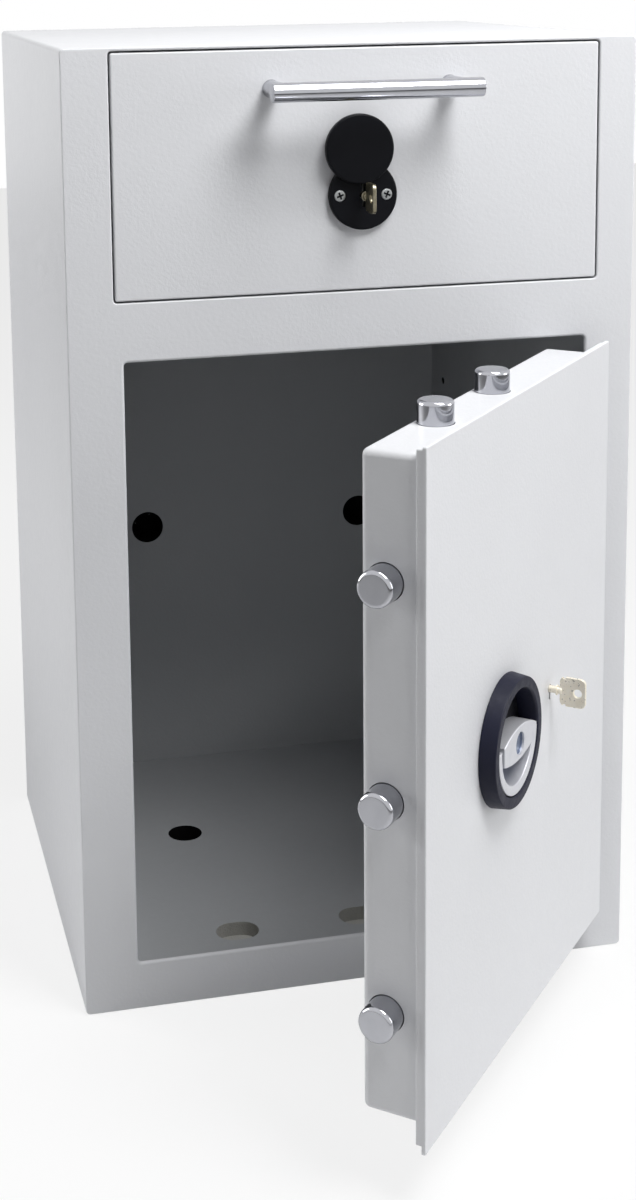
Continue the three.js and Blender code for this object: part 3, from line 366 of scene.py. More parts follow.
@dataclass(frozen=True)
class CastFill:
    """Cement barrier fill poured between the sheets: grey, dull and sandy, with grit and damp patches."""

    name: str = "barrier_concrete_cast"
    colour: str = "BDBCB7"
    shade: str = "AAA9A4"
    roughness: float = 0.95
    patch: float = 30.0
    grit: float = 1.5
    depth: float = 0.4

    def make(self) -> bpy.types.Material:
        """Returns the material."""
        material, bsdf, place = blank_material(self.name, Roughness=self.roughness)
        feed(bsdf, Base_Color=mottle(place, self.patch, self.shade, self.colour, 6.0))
        roughen(bsdf, mottle(place, self.grit, 0.0, 1.0, 4.0), self.depth)
        return material


@dataclass(frozen=True)
class NearBlackHoleShade:
    """Near black for the drilled holes and the caps behind them: painted shade, uneven and without shine."""

    name: str = "near_black_painted_shade_in_holes"
    colour: str = "141416"
    shade: str = "0A0A0B"
    roughness: float = 0.9
    shine: float = 0.05
    patch: float = 6.0
    blotch: float = 2.5
    depth: float = 0.2

    def make(self) -> bpy.types.Material:
        """Returns the material."""
        shader = {"Roughness": self.roughness, "Specular_IOR_Level": self.shine}
        material, bsdf, place = blank_material(self.name, **shader)
        feed(bsdf, Base_Color=mottle(place, self.patch, self.shade, self.colour, 4.0))
        roughen(bsdf, mottle(place, self.blotch, 0.0, 1.0), self.depth)
        return material


class Finishes:
    """The object's finishes, each made once."""

    def __init__(self) -> None:
        """Makes every material."""
        self.outer_paint = PowderCoat("powder_coat_light_grey", "DADBDE", "D6D7DA").make()
        # The inside paint is a darker copy of the outer powder coat: painted shade for the compartment and
        # the bay.
        self.inner_paint = PowderCoat("powder_coat_inside_grey_painted_shade", "ACAEB0", "A5A7AA", 0.5).make()
        self.chrome = PolishedChrome().make()
        self.zinc = ZincPlate().make()
        self.plastic = MouldedPlastic("abs_black_moulded").make()
        self.rim_plastic = MouldedPlastic("abs_rim_moulded", "14162A", "101222", 0.5, 0.2).make()
        # A darker, bluer copy of the silver for the recess below the bar and the thumb dimple: painted shade.
        self.silver_darkened_for_shade = SatinSilver("silver_lacquer_painted_shade_in_the_recess", "747F96", "606A80").make()
        self.silver = SatinSilver().make()
        self.door_key = KeyMetal("key_nickel_on_brass", "F4F0E6", "E6DCC6", 0.6).make()
        self.drawer_key = KeyMetal("key_nickel_worn_to_brass", "A39E8E", "797157").make()
        self.fill = CastFill().make()
        # Near black in the drilled holes and on the anchor caps: painted shade.
        self.seal = NearBlackHoleShade().make()

    def for_slot(self, slot: Slot) -> bpy.types.Material:
        """Returns the finish of one of the record's slots."""
        return {
            Slot.OUTER_PAINT: self.outer_paint,
            Slot.INNER_PAINT: self.inner_paint,
            Slot.FILL: self.fill,
            Slot.CHROME: self.chrome,
            Slot.ZINC: self.zinc,
            Slot.PLASTIC: self.plastic,
            Slot.SILVER: self.silver,
            Slot.KEY: self.drawer_key,
        }[slot]


def rounded_rectangle(
    left: float, right: float, low: float, high: float, radius: float, steps: int = 5
) -> Outline:
    """Returns a rectangle with rounded corners, counter-clockwise in x and z."""
    corners = (
        (right - radius, low + radius, -90.0),
        (right - radius, high - radius, 0.0),
        (left + radius, high - radius, 90.0),
        (left + radius, low + radius, 180.0),
    )
    return [
        (x + radius * math.cos(turn), z + radius * math.sin(turn))
        for x, z, start in corners
        for turn in (math.radians(start + 90.0 * step / steps) for step in range(steps + 1))
    ]


def within(opening: Opening, margin: float) -> Opening:
    """Returns a left, right, low and high that lie a margin further in on every side."""
    left, right, low, high = opening
    return (left + margin, right - margin, low + margin, high - margin)


def circle(x: float, z: float, radius: float, steps: int = 64) -> Outline:
    """Returns a circle, counter-clockwise in x and z."""
    turns = (math.tau * step / steps for step in range(steps))
    return [(x + radius * math.cos(turn), z + radius * math.sin(turn)) for turn in turns]


def inset(outline: Outline, distance: float) -> Outline:
    """Moves every side of a counter-clockwise outline inwards.

    Args:
        outline: The outline.
        distance: How far, or outwards where it is negative.

    Returns:
        The moved outline, with as many points.
    """
    moved = []
    for index, (x, z) in enumerate(outline):
        before = Vector(outline[index - 1])
        after = Vector(outline[(index + 1) % len(outline)])
        here = Vector((x, z))
        arriving, leaving = (here - before).normalized(), (after - here).normalized()
        first, second = Vector((-arriving.y, arriving.x)), Vector((-leaving.y, leaving.x))
        shift = (first + second) * (distance / (1.0 + first.dot(second)))
        moved.append((x + shift.x, z + shift.y))
    return moved


def rounding(radius: float, depth: float, inwards: bool, steps: int = 4) -> list[Point]:
    """Works out the levels of a rounded edge of a prism.

    Args:
        radius: The edge's radius.
        depth: Where the flat face lies along y.
        inwards: True where the solid lies behind that face, at larger y.
        steps: Facets across the edge.

    Returns:
        (depth, inset) pairs from the face on.
    """
    side = 1.0 if inwards else -1.0
    turns = [math.radians(90.0 * step / steps) for step in range(steps + 1)]
    return [(depth + side * radius * (1.0 - math.cos(t)), radius * (1.0 - math.sin(t))) for t in turns]


def prism(outline: Outline, levels: Sequence[Point], holes: Sequence[Outline] = ()) -> Solid:
    """Stacks insets of an outline along y and closes both ends.

    Args:
        outline: Counter-clockwise outline in x and z.
        levels: (depth, inset) pairs, from one end to the other.
        holes: Counter-clockwise outlines that go through it, which widen as the outline shrinks.

    Returns:
        The closed solid.
    """
    solid = bmesh.new()
    ends: list[list[bmesh.types.BMEdge]] = [[], []]
    for contour, sign in [(outline, 1.0)] + [(hole, -1.0) for hole in holes]:
        rings = [
            [solid.verts.new((x, depth, z)) for x, z in inset(contour, sign * step)] for depth, step in levels
        ]
        for ring, following in zip(rings, rings[1:]):
            for here in range(len(ring)):
                there = (here + 1) % len(ring)
                solid.faces.new((ring[here], ring[there], following[there], following[here]))
        for end, ring in ((0, rings[0]), (1, rings[-1])):
            ends[end] += [solid.edges.get((ring[i - 1], ring[i])) for i in range(len(ring))]
    for edges in ends:
        if holes:
            bmesh.ops.triangle_fill(solid, use_beauty=True, edges=edges)
        else:
            bmesh.ops.contextual_create(solid, geom=edges)
    bmesh.ops.recalc_face_normals(solid, faces=solid.faces)
    return solid


def lathe(profile: Sequence[Point], steps: int = 64) -> Solid:
    """Turns a profile about the y axis.

    Args:
        profile: (radius, depth) pairs. It starts and ends on the axis, or else it is closed to a ring.
        steps: Facets round the axis.

    Returns:
        The closed solid.
    """
    solid = bmesh.new()
    turns = [math.tau * step / steps for step in range(steps)]
    rings = [
        [solid.verts.new((0.0, depth, 0.0))]
        if radius < 1e-6
        else [solid.verts.new((radius * math.cos(t), depth, radius * math.sin(t))) for t in turns]
        for radius, depth in profile
    ]
    on_axis = len(rings[0]) == 1 and len(rings[-1]) == 1
    pairs = list(zip(rings, rings[1:])) + ([] if on_axis else [(rings[-1], rings[0])])
    for ring, following in pairs:
        for here in range(steps):
            there = (here + 1) % steps
            corners = [ring[here % len(ring)], ring[there % len(ring)]]
            corners += [following[there % len(following)], following[here % len(following)]]
            solid.faces.new(list(dict.fromkeys(corners)))
    bmesh.ops.recalc_face_normals(solid, faces=solid.faces)
    return solid


def block(x: Point, y: Point, z: Point) -> Solid:
    """Returns a box between two places on each axis."""
    middles = [(low + high) / 2.0 for low, high in (x, y, z)]
    sizes = [high - low for low, high in (x, y, z)]
    solid = bmesh.new()
    place = Matrix.Translation(middles) @ Matrix.Diagonal((*sizes, 1.0))
    bmesh.ops.create_cube(solid, size=1.0, matrix=place)
    return solid


def cylinder(radius: float, start: float, end: float, steps: int = 64) -> Solid:
    """Returns a cylinder on the y axis."""
    return lathe(((0.0, start), (radius, start), (radius, end), (0.0, end)), steps)


def moved(solid: Solid, matrix: Matrix) -> Solid:
    """Moves a solid, and returns it."""
    bmesh.ops.transform(solid, matrix=matrix, verts=solid.verts)
    return solid


def together(solids: Iterable[Solid]) -> Solid:
    """Puts several solids in one mesh, each as it is."""
    whole = bmesh.new()
    for solid in solids:
        mesh = bpy.data.meshes.new("loose")
        solid.to_mesh(mesh)
        solid.free()
        whole.from_mesh(mesh)
        bpy.data.meshes.remove(mesh)
    return whole


def stand_up(name: str, solid: Solid) -> bpy.types.Object:
    """Makes a scene object of a solid, and uses the solid up."""
    mesh = bpy.data.meshes.new(name)
    solid.to_mesh(mesh)
    solid.free()
    thing = bpy.data.objects.new(name, mesh)
    bpy.context.scene.collection.objects.link(thing)
    return thing


def evaluated(thing: bpy.types.Object) -> Solid:
    """Returns the plain mesh that an object's modifiers give, and removes the object."""
    depsgraph = bpy.context.evaluated_depsgraph_get()
    mesh = bpy.data.meshes.new_from_object(thing.evaluated_get(depsgraph), depsgraph=depsgraph)
    solid = bmesh.new()
    solid.from_mesh(mesh)
    source = thing.data
    bpy.data.objects.remove(thing)
    bpy.data.meshes.remove(source)
    bpy.data.meshes.remove(mesh)
    return solid


def combined(solid: Solid, tools: Sequence[Solid], operation: str = "DIFFERENCE") -> Solid:
    """Cuts, or joins, solids one after the other.

    Args:
        solid: The blank.
        tools: Solids to take away or to add.
        operation: DIFFERENCE or UNION.

    Returns:
        The result.
    """
    blank = stand_up("blank", solid)
    cutters = [stand_up("cutter", tool) for tool in tools]
    for cutter in cutters:
        step = blank.modifiers.new("step", "BOOLEAN")
        step.operation = operation
        step.solver = "EXACT"
        step.object = cutter
    result = evaluated(blank)
    for cutter in cutters:
        mesh = cutter.data
        bpy.data.objects.remove(cutter)
        bpy.data.meshes.remove(mesh)
    return result


@dataclass
class Piece:
    """A finished piece: what it is called, what carries it and what it stands for."""

    name: str
    body: Body
    slot: Slot
    materials: Sequence[bpy.types.Material]
    replaces: Sequence[str] = ()
    place: Matrix = field(default_factory=lambda: CLOSED.copy())
    sharp: float = 32.0
    weld: float = 2e-6

    def finish(self, solid: Solid, paint: Callable[[Vector], int] | None = None) -> bpy.types.Object:
        """Turns a solid into the piece.

        Args:
            solid: The shape in millimetres, which is used up.
            paint: Gives the material's index from a face's middle in millimetres.

        Returns:
            The object, at the origin with its place in its mesh.
        """
        if paint:
            for face in solid.faces:
                face.material_index = paint(face.calc_center_median())
        moved(solid, self.place)
        bmesh.ops.remove_doubles(solid, verts=solid.verts, dist=self.weld)
        bmesh.ops.recalc_face_normals(solid, faces=solid.faces)
        thing = stand_up(self.name, solid)
        for material in self.materials:
            thing.data.materials.append(material)
        thing.data.shade_smooth()
        thing.data.set_sharp_from_angle(angle=math.radians(self.sharp))
        even = thing.modifiers.new("even normals", "WEIGHTED_NORMAL")
        even.keep_sharp = True
        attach(thing, self.body.value)
        if self.replaces:
            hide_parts(*self.replaces)
        log.info("%s: %d faces on %s", self.name, len(thing.data.polygons), self.body.value)
        return thing


class PartTree:
    """A Geometry Nodes tree with named inputs, for shapes that repeat."""

    def __init__(self, name: str, inputs: Sequence[tuple[str, str]]) -> None:
        """Starts the tree.

        Args:
            name: The tree's name.
            inputs: (name, socket type) pairs, after the geometry.
        """
        self.tree = bpy.data.node_groups.new(name, "GeometryNodeTree")
        interface = self.tree.interface
        interface.new_socket(name="Geometry", in_out="INPUT", socket_type="NodeSocketGeometry")
        interface.new_socket(name="Geometry", in_out="OUTPUT", socket_type="NodeSocketGeometry")
        self.keys: dict[str, str] = {}
        for label, kind in inputs:
            socket = interface.new_socket(name=label, in_out="INPUT", socket_type=kind)
            self.keys[label] = socket.identifier
        self.inputs = add_node(self.tree, "NodeGroupInput").outputs

    def add(self, kind: str, inputs: dict | None = None, **settings: Any) -> Socket:
        """Adds a node and returns its first output."""
        return add_node(self.tree, kind, inputs, **settings).outputs[0]

    def value(self, operation: str, first: Any, second: Any) -> Socket:
        """Returns the result of a sum."""
        return self.add("ShaderNodeMath", {0: first, 1: second}, operation=operation)

    def gathered(
        self, kind: str, socket: str, shapes: Iterable[Socket], **settings: Any
    ) -> bpy.types.Node:
        """Returns a node with many shapes on one input.

        Args:
            kind: The node's type name.
            socket: The input that takes them all.
            shapes: The shapes.
            settings: Properties of the node.

        Returns:
            The new node.
        """
        node = add_node(self.tree, kind, **settings)
        for shape in shapes:
            self.tree.links.new(shape, node.inputs[socket])
        return node

    def lifted(self, shape: Socket, height: Any) -> Socket:
        """Returns a shape moved up its own axis."""
        rise = self.add("ShaderNodeCombineXYZ", {"Z": height})
        return self.add("GeometryNodeTransform", {"Geometry": shape, "Translation": rise})

    def close(self, shape: Socket) -> None:
        """Ends the tree in real geometry with its material."""
        real = self.add("GeometryNodeRealizeInstances", {"Geometry": shape})
        dressed = self.add("GeometryNodeSetMaterial", {"Geometry": real, "Material": self.inputs["Material"]})
        add_node(self.tree, "NodeGroupOutput", {0: dressed})

    def run(self, points: Sequence[Triple], **values: Any) -> Solid:
        """Runs the tree on a mesh of loose points.

        Args:
            points: The points.
            values: Input values, with _ for a space in their names.

        Returns:
            The plain mesh.
        """
        seeds = bmesh.new()
        for point in points:
            seeds.verts.new(point)
        carrier = stand_up("carrier", seeds)
        nodes = carrier.modifiers.new("parts", "NODES")
        nodes.node_group = self.tree
        for name, value in values.items():
            nodes[self.keys[name.replace("_", " ")]] = value
        return evaluated(carrier)


class TurnedPins(PartTree):
    """A row of turned pins with a rounded tip, such as the locking bolts: along x, tips up."""

    SIDES = 64
    TIP_STEPS = 4
    WELD = 0.001

    def __init__(self) -> None:
        """Builds the tree."""
        sizes = [(label, "NodeSocketFloat") for label in ("Radius", "Length", "Tip", "Pitch")]
        super().__init__(
            "turned_pins", [*sizes, ("Count", "NodeSocketInt"), ("Material", "NodeSocketMaterial")]
        )
        radius, length, tip = (self.inputs[label] for label in ("Radius", "Length", "Tip"))
        straight = self.value("SUBTRACT", length, tip)
        tube = {"Vertices": self.SIDES, "Radius": radius, "Depth": straight}
        shank = self.add("GeometryNodeMeshCylinder", tube, fill_type="NONE")
        shells = [self.lifted(shank, self.value("MULTIPLY", straight, 0.5))]
        turns = [math.radians(90.0 * step / self.TIP_STEPS) for step in range(self.TIP_STEPS + 1)]
        for low, high in zip(turns, turns[1:]):
            start = self.value("MULTIPLY", tip, math.sin(low))
            rise = self.value("MULTIPLY", tip, math.sin(high) - math.sin(low))
            wide, narrow = (
                self.value("SUBTRACT", radius, self.value("MULTIPLY", tip, 1.0 - math.cos(turn)))
                for turn in (low, high)
            )
            sizes = {"Vertices": self.SIDES, "Radius Bottom": wide, "Radius Top": narrow, "Depth": rise}
            cone = self.add("GeometryNodeMeshCone", sizes, fill_type="NONE")
            shells.append(self.lifted(cone, self.value("ADD", straight, start)))
        for edge, height in ((narrow, length), (radius, 0.0)):
            rim = {"Vertices": self.SIDES, "Radius": edge}
            shells.append(self.lifted(self.add("GeometryNodeMeshCircle", rim, fill_type="NGON"), height))
        join = self.gathered("GeometryNodeJoinGeometry", "Geometry", shells).outputs[0]
        pin = self.add("GeometryNodeMergeByDistance", {"Geometry": join, "Distance": self.WELD})
        step = self.add("ShaderNodeCombineXYZ", {"X": self.inputs["Pitch"]})
        line = self.add("GeometryNodeMeshLine", {"Count": self.inputs["Count"], "Offset": step})
        self.close(self.add("GeometryNodeInstanceOnPoints", {"Points": line, "Instance": pin}))

    def row(self, place: Matrix, count: int, **sizes: float) -> Solid:
        """Returns a row of pins at its place."""
        return moved(self.run(((0.0, 0.0, 0.0),), Count=count, **sizes), place)


class CrossHeadScrews(PartTree):
    """Cross-head screws on given points, heads up, each turned by a fixed chance amount."""

    SIDES = 40
    CROWN = 0.35
    CROWN_RADIUS = 0.72
    BLADE = (1.3, 0.34)

    def __init__(self) -> None:
        """Builds the tree."""
        sizes = [(label, "NodeSocketFloat") for label in ("Radius", "Head", "Recess")]
        super().__init__(
            "cross_head_screws", [*sizes, ("Seed", "NodeSocketInt"), ("Material", "NodeSocketMaterial")]
        )
        radius, head, recess = (self.inputs[label] for label in ("Radius", "Head", "Recess"))
        flat = self.add("GeometryNodeMeshCylinder", {"Vertices": self.SIDES, "Radius": radius, "Depth": head})
        narrow = self.value("MULTIPLY", radius, self.CROWN_RADIUS)
        rise = self.value("MULTIPLY", head, self.CROWN)
        sizes = {"Vertices": self.SIDES, "Radius Top": narrow, "Radius Bottom": radius, "Depth": rise}
        crown = self.add("GeometryNodeMeshCone", sizes)
        blades = []
        for across, along in (self.BLADE, self.BLADE[::-1]):
            wide, deep = self.value("MULTIPLY", radius, across), self.value("MULTIPLY", radius, along)
            tall = self.value("MULTIPLY", recess, 2.0)
            size = self.add("ShaderNodeCombineXYZ", {"X": wide, "Y": deep, "Z": tall})
            top = self.value("MULTIPLY", head, 1.0 + self.CROWN)
            blades.append(self.lifted(self.add("GeometryNodeMeshCube", {"Size": size}), top))
        solids = (self.lifted(flat, self.value("MULTIPLY", head, 0.5)), self.lifted(crown, head))
        kind, exact = "GeometryNodeMeshBoolean", {"solver": "EXACT"}
        body = self.gathered(kind, "Mesh 2", solids, operation="UNION", **exact).outputs[0]
        cut = self.gathered(kind, "Mesh 2", blades, operation="DIFFERENCE", **exact)
        self.tree.links.new(body, cut.inputs["Mesh 1"])
        bounds = {"Min": 0.0, "Max": math.pi, "Seed": self.inputs["Seed"]}
        chance = add_node(self.tree, "FunctionNodeRandomValue", bounds, data_type="FLOAT")
        turn = next(socket for socket in chance.outputs if socket.enabled)
        spin = self.add("FunctionNodeEulerToRotation", {0: self.add("ShaderNodeCombineXYZ", {"Z": turn})})
        places = {"Points": self.inputs["Geometry"], "Instance": cut.outputs[0], "Rotation": spin}
        self.close(self.add("GeometryNodeInstanceOnPoints", places))


@dataclass
class Cabinet:
    """The fixed body: welded casing, lined compartment, drawer bay, bolt sockets and anchor holes."""

    finishes: Finishes
    pins: TurnedPins
    half_width: float = 250.0
    depth: float = 450.0
    height: float = 840.0
    fold_radius: float = 4.0
    front_edge: float = 1.4
    opening: Opening = (-203.0, 206.0, 43.0, 579.0)
    bay: Opening = (-210.5, 216.5, 629.5, 837.0)
    inner_depth: float = 416.0
    opening_corner: float = 3.2
    lip: float = 2.6
    bay_lip: float = 1.3
    pocket_overrun: float = 6.0
    throat: Opening = (-147.0, 153.0, 205.0, 385.0)
    throat_ends: Point = (575.0, 634.0)
    anchor_x: Point = (-114.5, 120.5)
    anchor_floor_y: float = 235.0
    anchor_back_z: float = 308.0
    anchor_radius: float = 16.8
    anchor_outer_radius: float = 9.0
    anchor_step: float = 3.2
    anchor_overrun: float = 2.0
    anchor_rise: float = 1.0
    cap_clearance: float = 0.1
    cap_thickness: float = 4.0
    cap_edge: float = 0.8
    bolt_y: float = BOLT_Y
    side_socket: float = 15.8
    side_socket_depth: float = 20.0
    side_socket_tip: float = 0.5
    side_socket_z: Triple = SIDE_BOLT_Z
    end_socket_x: Point = END_BOLT_X
    end_socket: Point = (39.0, 31.0)
    end_socket_flat: float = 0.1
    slot_depth: float = 13.0
    top_socket_depth: float = 16.0
    socket_overrun: float = 2.0
    hinge_z: Point = (480.0, 142.0)
    hinge_window: tuple[Point, Point] = ((205.0, 246.8), (3.3, 62.0))
    hinge_half_height: float = 17.5
    shelf_hole: float = 3.8
    shelf_hole_depth: float = 6.0
    shelf_hole_tip: float = 0.3
    shelf_hole_y: Point = (90.0, 378.0)
    shelf_hole_z: float = 358.0
    shelf_pitch: float = 33.0
    shelf_holes: int = 4
    painted_x: float = 245.9
    painted_y: Point = (2.7, 449.5)
    painted_z: Point = (2.0, 838.0)
    bare_slots: Point = (150.0, 20.0)
    bare_throat_z: float = 500.0

    def casing(self) -> Solid:
        """Returns the block with its folded and ground edges."""
        wide, tall = self.half_width, self.height
        outline = rounded_rectangle(-wide, wide, 0.0, tall, self.fold_radius)
        levels = rounding(self.front_edge, 0.0, True) + rounding(self.front_edge, self.depth, False)[::-1]
        return prism(outline, levels)

    def pocket(self, opening: Opening, lip: float) -> Solid:
        """Returns the space behind an opening, whose front edge is rolled outwards by its lip."""
        rolled = [(y, -step) for y, step in rounding(lip, 0.0, True)]
        levels = [(-self.pocket_overrun, -lip), *rolled, (self.inner_depth, 0.0)]
        return prism(rounded_rectangle(*opening, self.opening_corner), levels)

    def end_sockets(self) -> list[Solid]:
        """Returns the long holes for the top and bottom bolts."""
        across, deep = self.end_socket[0] / 2.0, self.end_socket[1] / 2.0
        shape = rounded_rectangle(-across, across, -deep, deep, deep - self.end_socket_flat, 12)
        low, high, overrun = self.opening[2], self.opening[3], self.socket_overrun
        ends = ((low - self.slot_depth, low + overrun), (high - overrun, high + self.top_socket_depth))
        return [
            moved(prism(shape, ((bottom, 0.0), (top, 0.0))), at(x, self.bolt_y, 0.0) @ ALONG_Z)
            for x in self.end_socket_x
            for bottom, top in ends
        ]

    def anchor_holes(self) -> list[Solid]:
        """Returns the stepped holes for the floor and wall anchors."""
        wide, narrow = self.anchor_radius, self.anchor_outer_radius
        step, overrun = self.anchor_step, self.anchor_overrun
        holes = []
        for x in self.anchor_x:
            floor_end, back_start = self.opening[2] + self.anchor_rise, self.inner_depth - overrun
            floor = [(0.0, -overrun), (narrow, -overrun), (narrow, step), (wide, step)]
            floor += [(wide, floor_end), (0.0, floor_end)]
            rear = [(0.0, back_start), (wide, back_start), (wide, self.depth - step)]
            rear += [(narrow, self.depth - step), (narrow, self.depth + overrun), (0.0, self.depth + overrun)]
            holes.append(moved(lathe(floor), at(x, self.anchor_floor_y, 0.0) @ ALONG_Z))
            holes.append(moved(lathe(rear), at(x, 0.0, self.anchor_back_z)))
        return holes

    def small_holes(self) -> list[Solid]:
        """Returns the round holes: side bolt sockets and shelf-support holes."""
        left, right = self.opening[:2]
        first, second = self.side_socket_z[:2]
        socket = {"Radius": self.side_socket, "Tip": self.side_socket_tip, "Pitch": second - first}
        socket["Length"] = self.side_socket_depth + self.socket_overrun
        place = at(left + self.socket_overrun, self.bolt_y, first) @ TIPS_LEFT
        deep = self.shelf_hole_depth
        hole = {"Radius": self.shelf_hole, "Tip": self.shelf_hole_tip, "Pitch": self.shelf_pitch}
        hole["Length"] = right - left + 2.0 * deep
        return [self.pins.row(place, len(self.side_socket_z), **socket)] + [
            self.pins.row(at(right + deep, y, self.shelf_hole_z) @ TIPS_LEFT, self.shelf_holes, **hole)
            for y in self.shelf_hole_y
        ]

    def square_holes(self) -> list[Solid]:
        """Returns the hinge windows and the drop throat."""
        left, right, front, back = self.throat
        half = self.hinge_half_height
        windows = [block(*self.hinge_window, (z - half, z + half)) for z in self.hinge_z]
        return windows + [block((left, right), (front, back), self.throat_ends)]

    def paint(self, middle: Vector) -> int:
        """Returns 0 for a face outside, 1 for a lined one (the darker inside paint, painted shade), 2 for
        bare fill and 3 for a hole (near black, painted shade).
        """
        x, y, z = middle
        (front, rear), (low, high) = self.painted_y, self.painted_z
        if abs(x) > self.painted_x or not (front <= y <= rear and low <= z <= high):
            return 0
        # Faces of the compartment and the bay take the darker inside paint, which is painted shade.
        for opening in (self.opening, self.bay):
            left, right, low, high = within(opening, -SLACK)
            if left <= x <= right and low <= z <= high and y <= self.inner_depth + SLACK:
                return 1
        across, behind = self.bare_slots
        in_slot = y < self.bolt_y + behind and abs(x) < across
        left, right, front, back = within(self.throat, -SLACK)
        in_throat = left <= x <= right and front <= y <= back and z > self.bare_throat_z
        # Every other cut face belongs to a hole and is painted near black as shade.
        return 2 if in_slot or in_throat else 3

    def anchor_caps(self) -> Solid:
        """Returns dark caps in the back of the wall anchor holes. With the near-black finish they are painted
        shade that keeps the holes black.
        """
        radius, edge = self.anchor_outer_radius - self.cap_clearance, self.cap_edge
        rear = self.depth - self.cap_clearance
        front = rear - self.cap_thickness
        profile = [(0.0, front), (radius, front), (radius, rear - edge), (radius - edge, rear), (0.0, rear)]
        return together(moved(lathe(profile), at(x, 0.0, self.anchor_back_z)) for x in self.anchor_x)

    def build(self) -> None:
        """Builds the casing as one piece, and the dark caps in its back, which are painted shade for the
        anchor holes.
        """
        holes = self.end_sockets() + self.anchor_holes() + self.small_holes()
        tools = [self.pocket(self.opening, self.lip), self.pocket(self.bay, self.bay_lip)]
        tools += [*self.square_holes(), together(holes)]
        paint = self.finishes
        paints = (paint.outer_paint, paint.inner_paint, paint.fill, paint.seal)
        nodes = ["outer_shell", "front_frame", "back_plate", "safe_liner", "bay_liner"]
        nodes += [f"fill_{place}" for place in ("left", "right", "floor", "back", "middle", "bay_back")]
        casing = Piece("cabinet_casing", Body.CABINET, Slot.OUTER_PAINT, paints, nodes)
        casing.finish(combined(self.casing(), tools), self.paint)
        caps = Piece("wall_anchor_shade_caps", Body.CABINET, Slot.PLASTIC, (paint.seal,))
        caps.finish(self.anchor_caps())


